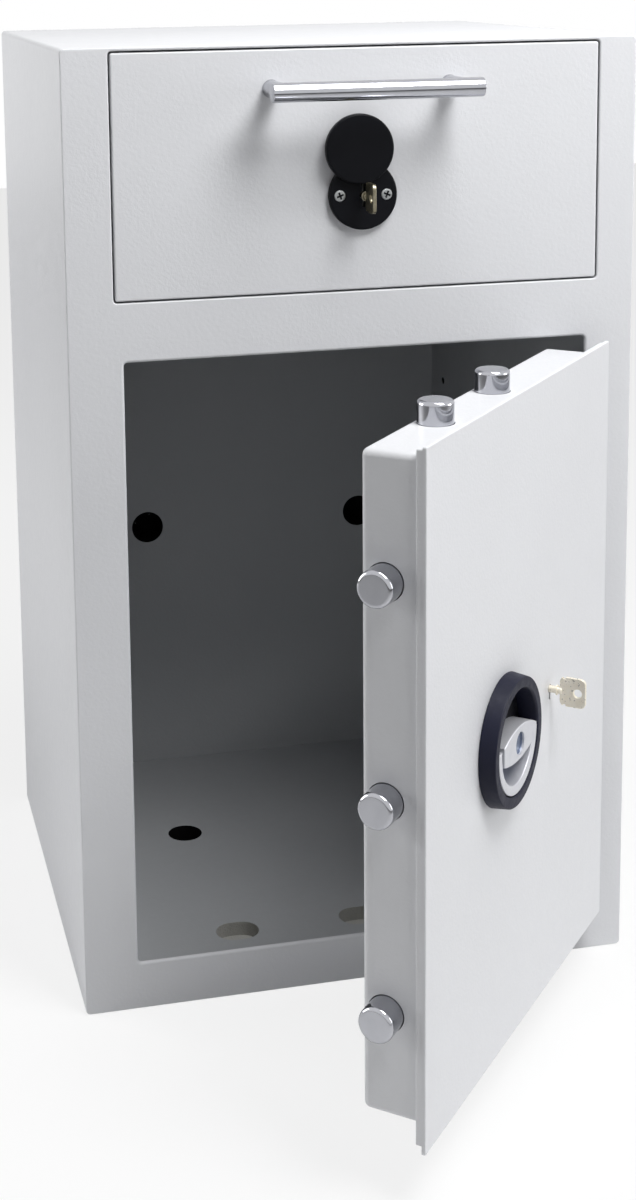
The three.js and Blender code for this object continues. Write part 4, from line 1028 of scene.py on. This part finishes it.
@dataclass
class DoorLeaf:
    """The door: front plate, folded pan and its rear cover, shown open."""

    finishes: Finishes
    pins: TurnedPins
    screws: CrossHeadScrews
    plate: Opening = (-201.0, 204.0, 45.0, 577.0)
    plate_thickness: float = 8.0
    plate_corner: float = 1.6
    plate_edge: float = 1.1
    skin: float = 3.0
    lap: float = 1.0
    backing: Opening = (-200.6, 203.4, 51.5, 575.0)
    backing_corner: float = 1.2
    backing_edge: float = 0.8
    pan: Opening = (-197.0, 185.0, 66.0, 570.0)
    pan_front: float = 8.0
    pan_back: float = 52.0
    pan_wall: float = 2.5
    pan_edge: float = 5.0
    pan_corner: float = 5.4
    hollow_overrun: float = 4.0
    window_span: Point = (-12.0, 5.0)
    inner_corner: float = 3.0
    cover_inset: float = 10.0
    cover_sheet: float = 2.0
    cover_corner: float = 4.0
    cover_edge: float = 0.7
    cover_gap: float = 0.3
    flange: float = 15.0
    handle: Point = HANDLE_CENTRE
    cup_hole: float = 43.0
    keyhole: Point = DOOR_KEY_CENTRE
    keyhole_radius: float = 3.8
    keyhole_slit: Triple = (1.6, 9.5, 2.0)
    cut_span: Point = (-3.0, 12.0)
    bolt_y: float = BOLT_Y
    bolt_hole: float = 14.6
    bolt_hole_length: float = 12.0
    bolt_hole_tip: float = 0.1
    side_bolt_z: Triple = SIDE_BOLT_Z
    end_bolt_x: Point = END_BOLT_X
    screw_inset: float = 9.0
    screw_radius: float = 3.6
    screw_head: float = 1.1
    screw_recess: float = 0.9
    screw_seat: float = 1.4

    def front_plate(self) -> Solid:
        """Returns the plate: a skin with a slightly smaller backing, the cup's hole and the keyhole."""
        outline = rounded_rectangle(*self.plate, self.plate_corner, 4)
        skin = prism(outline, rounding(self.plate_edge, 0.0, True) + [(self.skin, 0.0)])
        rear = rounded_rectangle(*self.backing, self.backing_corner, 3)
        ground = rounding(self.backing_edge, self.plate_thickness, False, 3)[::-1]
        backing = prism(rear, [(self.skin - self.lap, 0.0)] + ground)
        x, z = self.keyhole
        half, below, above = self.keyhole_slit
        tools = (
            moved(cylinder(self.cup_hole, *self.cut_span), at(self.handle[0], 0.0, self.handle[1])),
            moved(cylinder(self.keyhole_radius, *self.cut_span, 32), at(x, 0.0, z)),
            block((x - half, x + half), self.cut_span, (z - below, z + above)),
        )
        return combined(combined(skin, (backing,), "UNION"), tools)

    def bolt_holes(self) -> Solid:
        """Returns the holes that the bolts slide in, through three sides of the pan."""
        left, _, low, high = self.pan
        half = self.bolt_hole_length / 2.0
        hole = {"Radius": self.bolt_hole, "Length": self.bolt_hole_length, "Tip": self.bolt_hole_tip}
        side, end = (places[1] - places[0] for places in (self.side_bolt_z, self.end_bolt_x))
        first = self.end_bolt_x[0]
        beside = at(left + half, self.bolt_y, self.side_bolt_z[0]) @ TIPS_LEFT
        above = at(first, self.bolt_y, high - half)
        below = at(first, self.bolt_y, low + half) @ TIPS_DOWN
        rows = ((beside, 3, side), (above, 2, end), (below, 2, end))
        return together(self.pins.row(place, count, Pitch=pitch, **hole) for place, count, pitch in rows)

    def folded_pan(self) -> Solid:
        """Returns the hollow pan with its rear flange and bolt holes."""
        outline = rounded_rectangle(*self.pan, self.pan_corner, 6)
        levels = [(self.pan_front, 0.0)] + rounding(self.pan_edge, self.pan_back, False, 6)[::-1]
        inside = rounded_rectangle(*within(self.pan, self.pan_wall), self.inner_corner)
        start = self.pan_front - self.hollow_overrun
        hollow = prism(inside, ((start, 0.0), (self.pan_back - self.pan_wall, 0.0)))
        mouth = rounded_rectangle(*within(self.pan, self.flange), self.inner_corner)
        window = prism(mouth, [(self.pan_back + depth, 0.0) for depth in self.window_span])
        return combined(prism(outline, levels), (hollow, window, self.bolt_holes()))

    def rear_cover(self) -> Solid:
        """Returns the plate that closes the pan."""
        outline = rounded_rectangle(*within(self.pan, self.cover_inset), self.cover_corner)
        near = self.pan_back + self.cover_gap
        far = near + self.cover_sheet
        return prism(outline, [(near, 0.0)] + rounding(self.cover_edge, far, False)[::-1])

    def cover_screws(self) -> Solid:
        """Returns the screws round the rear cover, sunk in its face."""
        left, right, low, high = within(self.pan, self.cover_inset + self.screw_inset)
        points = [(x, z, 0.0) for x in (left, right) for z in (low, (low + high) / 2.0, high)]
        sizes = {"Radius": self.screw_radius, "Head": self.screw_head, "Recess": self.screw_recess}
        # TIPS_BACK turns the points' y to -z of the door, so they are mirrored first.
        flip = TIPS_BACK @ Matrix.Diagonal((1, -1, 1, 1))
        seat = at(0.0, self.pan_back + self.screw_seat, 0.0)
        return moved(self.screws.run(points, Seed=4, **sizes), seat @ flip)

    def build(self) -> None:
        """Builds the door's own pieces."""
        paint, steel = (self.finishes.outer_paint,), (self.finishes.zinc,)
        for name, node, solid in (
            ("door_front", "door_plate", self.front_plate()),
            ("door_box", "door_pan", self.folded_pan()),
            ("door_rear_cover", "door_back_cover", self.rear_cover()),
        ):
            Piece(name, Body.DOOR, Slot.OUTER_PAINT, paint, (node,), OPEN).finish(solid)
        Piece("door_cover_screws", Body.DOOR, Slot.ZINC, steel, (), OPEN).finish(self.cover_screws())


@dataclass
class BoltWork:
    """The round locking bolts on three sides of the door."""

    finishes: Finishes
    pins: TurnedPins
    radius: float = 14.0
    tip: float = 3.2
    depth: float = BOLT_Y
    side_tip: float = -217.0
    side_root: float = -152.3
    side_z: Triple = SIDE_BOLT_Z
    end_x: Point = END_BOLT_X
    top: Point = (520.3, 588.0)
    bottom: Point = (115.7, 34.0)

    def build(self) -> None:
        """Builds one piece for each body of bolts."""
        side, end = (places[1] - places[0] for places in (self.side_z, self.end_x))
        first, levels = self.end_x[0], ("lower", "middle", "upper")
        beside = at(self.side_root, self.depth, self.side_z[0]) @ TIPS_LEFT
        above = at(first, self.depth, self.top[0])
        below = at(first, self.depth, self.bottom[0]) @ TIPS_DOWN
        for kind, body, ends, length, pitch, place in (
            ("side", Body.SIDE_BOLTS, levels, self.side_root - self.side_tip, side, beside),
            ("top", Body.TOP_BOLTS, ("left", "right"), self.top[1] - self.top[0], end, above),
            ("bottom", Body.BOTTOM_BOLTS, ("left", "right"), self.bottom[0] - self.bottom[1], end, below),
        ):
            sizes = {"Radius": self.radius, "Tip": self.tip, "Length": length, "Pitch": pitch}
            nodes = [f"{kind}_bolt_{which}" for which in ends]
            piece = Piece(f"{kind}_bolt_set", body, Slot.CHROME, (self.finishes.chrome,), nodes, OPEN)
            piece.finish(self.pins.row(place, len(ends), **sizes))


@dataclass
class TurnHandle:
    """The recessed turning handle: a black cup with a raised rim, and a silver grip set in it."""

    finishes: Finishes
    centre: Point = HANDLE_CENTRE
    rim: float = 52.5
    rim_front: float = -13.6
    rim_draft: float = 1.5
    rim_edge: float = 1.0
    mouth: float = 2.0
    cup: float = 42.0
    cup_wall: float = 0.9
    cup_floor: float = 5.5
    cup_back: float = 7.5
    cup_corner: float = 1.2
    spindle_hole: float = 6.6
    plate_gap: float = 0.3
    grip: float = 41.2
    ring: float = 40.95
    bar_end: float = 40.6
    grip_front: float = -13.0
    grip_disc: Point = (2.7, 5.2)
    bar_shift: float = 2.0
    bar_reach: float = 29.5
    bar_rise: float = 12.2
    bar_top_radius: float = 80.0
    bar_dip: float = 15.0
    bar_bottom_radius: float = 100.0
    bar_edge: float = 0.9
    ring_rise: float = 5.0
    ring_edge: float = 0.7
    pocket: Triple = (-1.8, 0.8, 33.2)
    dimple: tuple[float, float, float, float] = (3.5, -2.0, 9.0, 2.6)
    dimple_edge: tuple[Point, ...] = ((-1.0, 0.0), (-0.3, 0.3), (0.0, 1.0))
    overrun: float = 1.0
    colour_split: float = -2.0
    recess_step: float = 0.3

    def seat(self) -> Matrix:
        """Returns where the handle sits on the closed door."""
        return at(self.centre[0], 0.0, self.centre[1])

    def cup_and_rim(self) -> Solid:
        """Returns the cup with its rim as one ring."""
        front, edge, mouth = self.rim_front, self.rim_edge, self.mouth
        corner = self.rim - self.rim_draft - edge
        turns = [math.radians(90.0 * step / 6) for step in range(7)]
        outer = [(corner + edge * math.sin(t), front + edge - edge * math.cos(t)) for t in turns]
        throat = [(self.cup + mouth * (1 - math.sin(t)), front + mouth * (1 - math.cos(t))) for t in turns]
        corner, hub, shell = self.cup_corner, self.spindle_hole, self.cup + self.cup_wall
        profile = [(hub, self.cup_floor), (self.cup - corner, self.cup_floor)]
        profile += [(self.cup, self.cup_floor - corner)] + throat[::-1] + outer
        profile += [(self.rim, -self.plate_gap), (shell, -self.plate_gap), (shell, self.cup_back)]
        return moved(lathe([*profile, (hub, self.cup_back)], 96), self.seat())

    def part_ring(self) -> Solid:
        """Returns the ring that starts inside the bar's right end and ends free beside its left end."""
        x, z, radius = self.pocket
        start = math.pi - math.asin(self.ring_rise / self.ring)
        inner_start = math.pi - math.asin((self.ring_rise - z) / radius)
        steps = 72
        outer, inner = [], []
        for step in range(steps + 1):
            share = step / steps
            turn = start + (math.tau - start) * share
            outer.append((self.ring * math.cos(turn), self.ring * math.sin(turn)))
            turn = inner_start + (math.tau - inner_start) * share
            inner.append((x + radius * math.cos(turn), z + radius * math.sin(turn)))
        return prism(outer + inner[::-1], self.levels(self.ring_edge))

    def levels(self, edge: float) -> list[Point]:
        """Returns the levels of what stands on the grip's disc, with a rounded front edge."""
        return rounding(edge, self.grip_front, True) + [(self.grip_disc[0] + self.overrun, 0.0)]

    def meeting(self, middle: float, radius: float, side: float) -> float:
        """Finds where an arc of the bar meets the circle of its right end.

        Args:
            middle: The height of the arc's centre.
            radius: The arc's radius.
            side: 1 for the arc above and -1 for the arc below.

        Returns:
            The angle on that circle.
        """
        away = math.hypot(self.bar_shift, middle)
        turn = math.acos((self.bar_end**2 + away**2 - radius**2) / (2.0 * self.bar_end * away))
        return math.atan2(middle, self.bar_shift) + side * turn

    def bar(self) -> Solid:
        """Returns the bar: an arc above, an arc below, and a right end that follows the cup."""
        steps, end_steps = 20, 4
        arcs = []
        for side, reach, radius in (
            (-1.0, -self.bar_dip, self.bar_bottom_radius),
            (1.0, self.bar_rise, self.bar_top_radius),
        ):
            middle = reach - side * radius
            turn = self.meeting(middle, radius, side)
            right = self.bar_end * math.cos(turn)
            span = right + self.bar_reach
            places = [span * step / steps - self.bar_reach for step in range(steps + 1)]
            heights = [middle + side * math.sqrt(radius**2 - (x - self.bar_shift) ** 2) for x in places]
            arcs.append((turn, list(zip(places, heights))))
        (low, below), (high, above) = arcs
        turns = [low + (high - low) * step / end_steps for step in range(1, end_steps)]
        end = [(self.bar_end * math.cos(turn), self.bar_end * math.sin(turn)) for turn in turns]
        return prism(below + end + above[::-1], self.levels(self.bar_edge))

    def thumb_dimple(self) -> Solid:
        """Returns the round pocket in the bar's middle, as a tool with a rounded bottom edge."""
        x, z, radius, deep = self.dimple
        front, back = self.grip_front - self.overrun, self.grip_front + deep
        bottom = [(back + depth, step) for depth, step in self.dimple_edge]
        return prism(circle(x, z, radius), [(front, 0.0), *bottom])

    def insert(self) -> Solid:
        """Returns the grip as one solid, whose lower half lies a step deeper than its upper half."""
        near, far = self.grip_disc
        disc = cylinder(self.grip, near, far, 96)
        wide = self.grip + self.overrun
        deep = (near - self.overrun, near + self.recess_step)
        lower = block((-wide, wide), deep, (-wide, self.colour_split))
        # The bar joins the ring before both join the disc: the other order leaves open edges.
        raised = combined(combined(self.part_ring(), (self.bar(),), "UNION"), (self.thumb_dimple(),))
        grip = combined(combined(disc, (lower,)), (raised,), "UNION")
        return moved(grip, self.seat())

    def paint(self, middle: Vector) -> int:
        """Returns 1 for the black disc above the bar, 2 for the recess below it and the dimple, which take a
        darker, bluer silver as painted shade, else 0.
        """
        near, far = self.grip_disc
        x, z, radius, _ = self.dimple
        rise = middle.z - self.centre[1]
        if middle.y < near - SLACK:
            reach = math.hypot(middle.x - self.centre[0] - x, rise - z)
            return 2 if reach < radius - SLACK and middle.y > self.grip_front + self.overrun else 0
        return 1 if rise > self.colour_split or middle.y > far - SLACK else 2

    def build(self) -> None:
        """Builds the cup on the door and the grip on the handle."""
        stock = self.finishes
        rim = Piece("handle_cup", Body.DOOR, Slot.PLASTIC, (stock.rim_plastic,), ("handle_rim",), OPEN)
        rim.finish(self.cup_and_rim())
        paints = (stock.silver, stock.plastic, stock.silver_darkened_for_shade)
        grip = Piece("handle_grip", Body.HANDLE, Slot.SILVER, paints, ("turn_grip",), OPEN)
        grip.finish(self.insert(), self.paint)


@dataclass
class Key:
    """A flat key in its lock: bow with a hole, shoulder, collar, shank and bit."""

    name: str
    body: Body
    node: str
    material: bpy.types.Material
    centre: Point
    bow_back: float
    bow_front: float
    inside: float
    place: Matrix
    bow_height: float = 25.0
    thickness: float = 3.0
    bow_edge: float = 0.5
    hole: float = 3.6
    hole_share: float = 0.7
    corner: float = 4.5
    notch: float = 2.6
    notch_height: float = 3.0
    notch_sink: float = 1.2
    notch_back: float = 5.2
    shank: float = 3.0
    shank_sink: float = 2.0
    root_share: float = 0.8
    root_length: float = 0.8
    collar: float = 4.2
    collar_span: Point = (1.6, 3.0)
    collar_edge: float = 0.4
    tip_edge: float = 0.6
    bit_span: Point = (8.0, 2.0)
    bit_drop: Point = (-9.0, -1.0)
    bit_x: Point = (-1.0, 1.0)
    ward_x: Point = (-2.0, 2.0)
    ward_start: float = -10.0
    ward_width: float = 0.8
    wards: tuple[Point, ...] = ((-7.2, 6.8), (-6.5, 5.1), (-7.0, 3.6))

    def bow(self) -> Solid:
        """Returns the bow, drawn along y with its thickness along x."""
        half, side = self.bow_height / 2.0, self.thickness / 2.0
        length = self.bow_back - self.bow_front
        outline = rounded_rectangle(0.0, length, -half, half, self.corner)
        hole = circle(length * self.hole_share, 0.0, self.hole, 32)
        levels = rounding(self.bow_edge, -side, True, 3) + rounding(self.bow_edge, side, False, 3)[::-1]
        shape = prism(outline, levels, (hole,))
        # The outline's x becomes -y, so that the bow grows forwards from its shoulder.
        turn = Matrix(((0, 1, 0, 0), (-1, 0, 0, self.bow_back), (0, 0, 1, 0), (0, 0, 0, 1)))
        start = self.bow_back - self.notch_back
        lows = (-half - self.notch_sink, half - self.notch_height + self.notch_sink)
        across, along = (-self.thickness, self.thickness), (start, start + self.notch)
        nicks = [block(across, along, (low, low + self.notch_height)) for low in lows]
        return combined(moved(shape, turn), nicks)

    def stem(self) -> Solid:
        """Returns the shank with its collar, from inside the bow to the bit."""
        back, shank, collar, edge = self.bow_back, self.shank, self.collar, self.collar_edge
        start, (front, rear) = back - self.shank_sink, self.collar_span
        profile = [(0.0, start), (shank * self.root_share, start), (shank, start + self.root_length)]
        profile += [(shank, back + front), (collar - edge, back + front), (collar, back + front + edge)]
        profile += [(collar, back + rear), (shank, back + rear + edge), (shank, self.inside - self.tip_edge)]
        profile += [(shank - self.tip_edge, self.inside), (0.0, self.inside)]
        return lathe(profile, 40)

    def bit(self) -> Solid:
        """Returns the flag that works the levers, with its wards."""
        far, near = self.bit_span
        flag = block(self.bit_x, (self.inside - far, self.inside - near), self.bit_drop)
        wards = [
            block(self.ward_x, (self.inside - y, self.inside - y + self.ward_width), (self.ward_start, top))
            for top, y in self.wards
        ]
        return combined(flag, wards)

    def build(self) -> None:
        """Builds the key as one piece."""
        shape = combined(self.bow(), (self.stem(), self.bit()), "UNION")
        piece = Piece(self.name, self.body, Slot.KEY, (self.material,), (self.node,), self.place)
        piece.finish(moved(shape, at(self.centre[0], 0.0, self.centre[1])))


@dataclass
class Drawer:
    """The deposit drawer's front with its bar handle."""

    finishes: Finishes
    front: Opening = (-209.0, 215.0, 631.0, 835.5)
    depth: float = 20.0
    skin: float = 3.0
    returns: float = 2.0
    overrun: float = 4.0
    corner: float = 2.0
    edge: float = 1.6
    pull: Point = (-86.5, 92.5)
    pull_y: float = -50.0
    pull_z: float = 803.0
    pull_radius: float = 8.0
    pull_edge: tuple[Point, ...] = ((0.0, 1.1), (0.35, 0.3), (1.1, 0.0))
    post_x: Point = (-74.5, 80.5)
    post_radius: float = 7.2
    post_sink: float = 3.0
    post_gap: float = 0.3
    groove: Point = (-20.0, 20.0)
    post_flare: tuple[Point, ...] = ((0.0, -4.0), (0.35, -2.2), (0.6, -0.9), (0.6, -0.3))

    def panel(self) -> Solid:
        """Returns the folded drawer front, open at the back."""
        outline = rounded_rectangle(*self.front, self.corner)
        solid = prism(outline, rounding(self.edge, 0.0, True) + [(self.depth, 0.0)])
        left, right, low, high = within(self.front, self.returns)
        return combined(solid, (block((left, right), (self.skin, self.depth + self.overrun), (low, high)),))

    def bar(self) -> Solid:
        """Returns the polished tube with its closed ends."""
        radius, (left, right) = self.pull_radius, self.pull
        start = [(radius - cut, left + step) for step, cut in self.pull_edge]
        end = [(radius - cut, right - step) for step, cut in self.pull_edge[::-1]]
        profile = [(0.0, left), *start, *end, (0.0, right)]
        return moved(lathe(profile, 72), at(0.0, self.pull_y, self.pull_z) @ ALONG_X)

    def post(self, x: float) -> Solid:
        """Returns one post, flared where it meets the drawer."""
        radius, start = self.post_radius, self.pull_y + self.post_sink
        foot = [(radius + flare, y) for flare, y in self.post_flare]
        profile = [(0.0, start), (radius, start), *foot, (0.0, foot[-1][1])]
        groove = cylinder(self.pull_radius + self.post_gap, *self.groove)
        return combined(
            moved(lathe(profile, 56), at(x, 0.0, self.pull_z)),
            (moved(groove, at(x, self.pull_y, self.pull_z) @ ALONG_X),),
        )

    def build(self) -> None:
        """Builds the front, the bar and its posts."""
        paint, chrome = (self.finishes.outer_paint,), (self.finishes.chrome,)
        Piece("drawer_panel", Body.DRAWER, Slot.OUTER_PAINT, paint, ("drawer_front",)).finish(self.panel())
        Piece("drawer_pull_tube", Body.DRAWER, Slot.CHROME, chrome, ("pull_bar",)).finish(self.bar())
        for side, x in zip(("left", "right"), self.post_x):
            name = f"drawer_pull_post_{side}"
            Piece(name, Body.DRAWER, Slot.CHROME, chrome, (f"pull_post_{side}",)).finish(self.post(x))


@dataclass
class DrawerLock:
    """The drawer's lock rose with its screws and swinging cover."""

    finishes: Finishes
    screws: CrossHeadScrews
    centre: Point = DRAWER_KEY_CENTRE
    radius: float = 29.5
    back: float = -0.3
    front: float = -6.3
    edge: float = 1.6
    overrun: float = 2.0
    barrel: float = 3.7
    slit: Point = (1.5, 10.0)
    screw_x: Point = (-17.5, 23.5)
    screw_radius: float = 4.8
    screw_head: float = 1.9
    screw_recess: float = 1.2
    screw_gap: float = 0.5
    screw_seat: float = -3.6
    shade_share: float = 0.68
    shade_depth: float = 0.05
    cover_pivot: Point = (3.0, 732.0)
    cover_front: float = -12.5
    cover_back: float = -7.0
    cover_edge: float = 1.8
    cover_turn: float = math.radians(167.0)
    cover_reach: float = 20.0
    stud_radius: float = 2.5
    stud: Point = (-8.0, -2.5)

    def rose(self) -> Solid:
        """Returns the rose with its keyhole and screw seats."""
        x, z = self.centre
        levels = rounding(self.edge, self.front, True, 6) + [(self.back, 0.0)]
        disc = prism(circle(x, z, self.radius, 96), levels)
        depth = (self.front - self.overrun, self.back + self.overrun)
        half, reach = self.slit
        slit = block((x - half, x + half), depth, (z - reach, z + reach))
        tools = [moved(cylinder(self.barrel, *depth, 32), at(x, 0.0, z)), slit]
        for place in self.screw_x:
            seat = cylinder(self.screw_radius + self.screw_gap, depth[0], self.screw_seat, 48)
            tools.append(moved(seat, at(place, 0.0, z)))
        return combined(disc, tools)

    def rose_screws(self) -> Solid:
        """Returns both screws, heads forward."""
        points = [(x, self.centre[1], 0.0) for x in self.screw_x]
        sizes = {"Radius": self.screw_radius, "Head": self.screw_head, "Recess": self.screw_recess}
        return moved(self.screws.run(points, Seed=11, **sizes), at(0.0, self.screw_seat, 0.0) @ TIPS_FORWARD)

    def screw_shade_paint(self, middle: Vector) -> int:
        """Returns 1 inside the screws' crosses, painted black as shade, and 0 elsewhere."""
        reach = min(math.hypot(middle.x - x, middle.z - self.centre[1]) for x in self.screw_x)
        front = self.screw_seat - self.screw_head * (1.0 + self.screws.CROWN)
        return 1 if reach < self.screw_radius * self.shade_share and middle.y > front + self.shade_depth else 0

    def cover(self) -> Solid:
        """Returns the cover disc with its stud, swung up and to the left."""
        x, z = self.cover_pivot
        turn, reach = math.pi - self.cover_turn, self.cover_reach
        outline = circle(x - math.sin(turn) * reach, z + math.cos(turn) * reach, self.radius, 96)
        levels = rounding(self.cover_edge, self.cover_front, True, 6) + [(self.cover_back, 0.0)]
        stud = moved(cylinder(self.stud_radius, *self.stud, 32), at(x, 0.0, z))
        return combined(prism(outline, levels), (stud,), "UNION")

    def build(self) -> None:
        """Builds the rose, its screws and the cover."""
        # The black plastic in the screws' crosses is painted shade.
        plastic, crossed = (self.finishes.plastic,), (self.finishes.zinc, self.finishes.plastic)
        Piece("drawer_lock_rose", Body.DRAWER, Slot.PLASTIC, plastic, ("lock_rose",)).finish(self.rose())
        names = ("rose_screw_left", "rose_screw_right")
        screws = Piece("drawer_rose_screws", Body.DRAWER, Slot.ZINC, crossed, names)
        screws.finish(self.rose_screws(), self.screw_shade_paint)
        cover = Piece("drawer_keyhole_cover", Body.LOCK_COVER, Slot.PLASTIC, plastic, ("lock_cover",))
        cover.finish(self.cover())


def dress_frame(finishes: Finishes) -> None:
    """Gives every node of the frame the finish of its slot in the record."""
    for name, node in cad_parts.items():
        for place in node.material_slots:
            slot = place.material.name.split(".")[0] if place.material else ""
            known = slot in {choice.value for choice in Slot}
            place.material = finishes.for_slot(Slot(slot)) if known else finishes.zinc
        log.info("dressed %s", name)


@dataclass
class Studio:
    """A pale floor, a white surround, soft lamps and the camera of the photograph."""

    camera_at: Triple = (-0.448716, -1.744597, 0.907514)
    yaw: float = math.radians(12.631)
    pitch: float = math.radians(9.102)
    roll: float = math.radians(0.836)
    lens: float = 56.69
    shift: Point = (0.07, -0.28)
    sensor: float = 36.0
    ambient: float = 0.06
    floor_half: float = 6.0
    floor_drop: float = 0.0005
    floor_glow: float = 0.8
    floor_colour: str = "F2F2F2"

    def camera(self) -> None:
        """Sets the camera."""
        data = bpy.data.cameras.new("photo_camera")
        data.sensor_width = self.sensor
        data.lens = self.lens
        data.shift_x, data.shift_y = self.shift
        level = math.cos(self.pitch)
        forward = Vector((math.sin(self.yaw) * level, math.cos(self.yaw) * level, -math.sin(self.pitch)))
        right = Vector((math.cos(self.yaw), -math.sin(self.yaw), 0.0))
        down = forward.cross(right)
        c, s = math.cos(self.roll), math.sin(self.roll)
        across, up = c * right + s * down, s * right - c * down
        turn = Matrix((across, up, -forward)).transposed().to_4x4()
        thing = bpy.data.objects.new("photo_camera", data)
        thing.matrix_world = Matrix.Translation(self.camera_at) @ turn
        bpy.context.scene.collection.objects.link(thing)
        bpy.context.scene.camera = thing

    def lamp(
        self, name: str, place: Sequence[float], target: Sequence[float], size: float, watts: float
    ) -> None:
        """Hangs a square soft lamp.

        Args:
            name: The lamp's name.
            place: Where it hangs, in metres.
            target: What it faces.
            size: Its side in metres.
            watts: Its power.
        """
        data = bpy.data.lights.new(name, "AREA")
        data.size = size
        data.energy = watts
        thing = bpy.data.objects.new(name, data)
        aim = (Vector(target) - Vector(place)).to_track_quat("-Z", "Y")
        thing.matrix_world = Matrix.Translation(place) @ aim.to_matrix().to_4x4()
        thing.visible_camera = False
        bpy.context.scene.collection.objects.link(thing)

    def surround(self) -> None:
        """Makes the world white to the eye, in metal and in glass, and dimmer as a light."""
        world = bpy.data.worlds.new("surround")
        bpy.context.scene.world = world
        world.use_nodes = True
        tree = world.node_tree
        tree.nodes.clear()
        path = add_node(tree, "ShaderNodeLightPath").outputs
        seen = path["Is Camera Ray"]
        for ray in ("Is Glossy Ray", "Is Transmission Ray"):
            seen = add_node(tree, "ShaderNodeMath", {0: seen, 1: path[ray]}, operation="MAXIMUM").outputs[0]
        light, white = (
            add_node(tree, "ShaderNodeBackground", {"Color": (1, 1, 1, 1), "Strength": power}).outputs[0]
            for power in (self.ambient, 1.0)
        )
        mix = add_node(tree, "ShaderNodeMixShader", {0: seen, 1: light, 2: white}).outputs[0]
        add_node(tree, "ShaderNodeOutputWorld", {"Surface": mix})

    def floor(self) -> None:
        """Lays the floor, which keeps a soft part of the shadow."""
        sheet = bmesh.new()
        bmesh.ops.create_grid(sheet, x_segments=1, y_segments=1, size=self.floor_half)
        ground = stand_up("studio_floor", moved(sheet, at(0.0, 0.0, -self.floor_drop)))
        material = bpy.data.materials.new("studio_paper_white")
        material.use_nodes = True
        tree = material.node_tree
        tree.nodes.clear()
        paper = add_node(tree, "ShaderNodeBsdfDiffuse", {"Color": linear(self.floor_colour)}).outputs[0]
        glow = add_node(tree, "ShaderNodeEmission", {"Color": (1, 1, 1, 1), "Strength": 1.0}).outputs[0]
        seen = add_node(tree, "ShaderNodeLightPath").outputs["Is Camera Ray"]
        values = {0: seen, 1: self.floor_glow}
        share = add_node(tree, "ShaderNodeMath", values, operation="MULTIPLY").outputs[0]
        mix = add_node(tree, "ShaderNodeMixShader", {0: share, 1: paper, 2: glow}).outputs[0]
        add_node(tree, "ShaderNodeOutputMaterial", {"Surface": mix})
        ground.data.materials.append(material)

    def build(self) -> None:
        """Sets the whole studio."""
        bpy.context.scene.view_settings.view_transform = "Standard"
        self.camera()
        self.surround()
        self.floor()
        self.lamp("lamp_front", (0.5, -1.15, 2.0), (0.0, -0.1, 0.8), 0.7, 26.0)
        self.lamp("lamp_top", (0.3, -0.62, 2.4), (0.0, -0.2, 0.6), 0.7, 16.5)
        self.lamp("lamp_left", (-2.2, 0.75, 1.0), (-0.2, 0.0, 0.5), 1.4, 30.0)
        self.lamp("lamp_right", (2.4, -1.0, 0.9), (0.1, -0.4, 0.4), 1.2, 20.0)


def main() -> None:
    """Dresses the frame and sets the studio, then builds the sub-assemblies in order."""
    logging.basicConfig(level=logging.INFO, format="%(name)s: %(message)s")
    finishes = Finishes()
    pins, screws = TurnedPins(), CrossHeadScrews()
    dress_frame(finishes)
    Studio().build()
    Cabinet(finishes, pins).build()
    DoorLeaf(finishes, pins, screws).build()
    BoltWork(finishes, pins).build()
    TurnHandle(finishes).build()
    metal, centre = finishes.door_key, DOOR_KEY_CENTRE
    Key("key_in_door", Body.DOOR_KEY, "door_key", metal, centre, -9.0, -31.0, 27.0, OPEN).build()
    Drawer(finishes).build()
    DrawerLock(finishes, screws).build()
    metal, centre = finishes.drawer_key, DRAWER_KEY_CENTRE
    Key("key_in_drawer", Body.DRAWER_KEY, "drawer_key", metal, centre, -16.0, -38.0, 26.0, CLOSED).build()


if __name__ == "__main__":
    main()
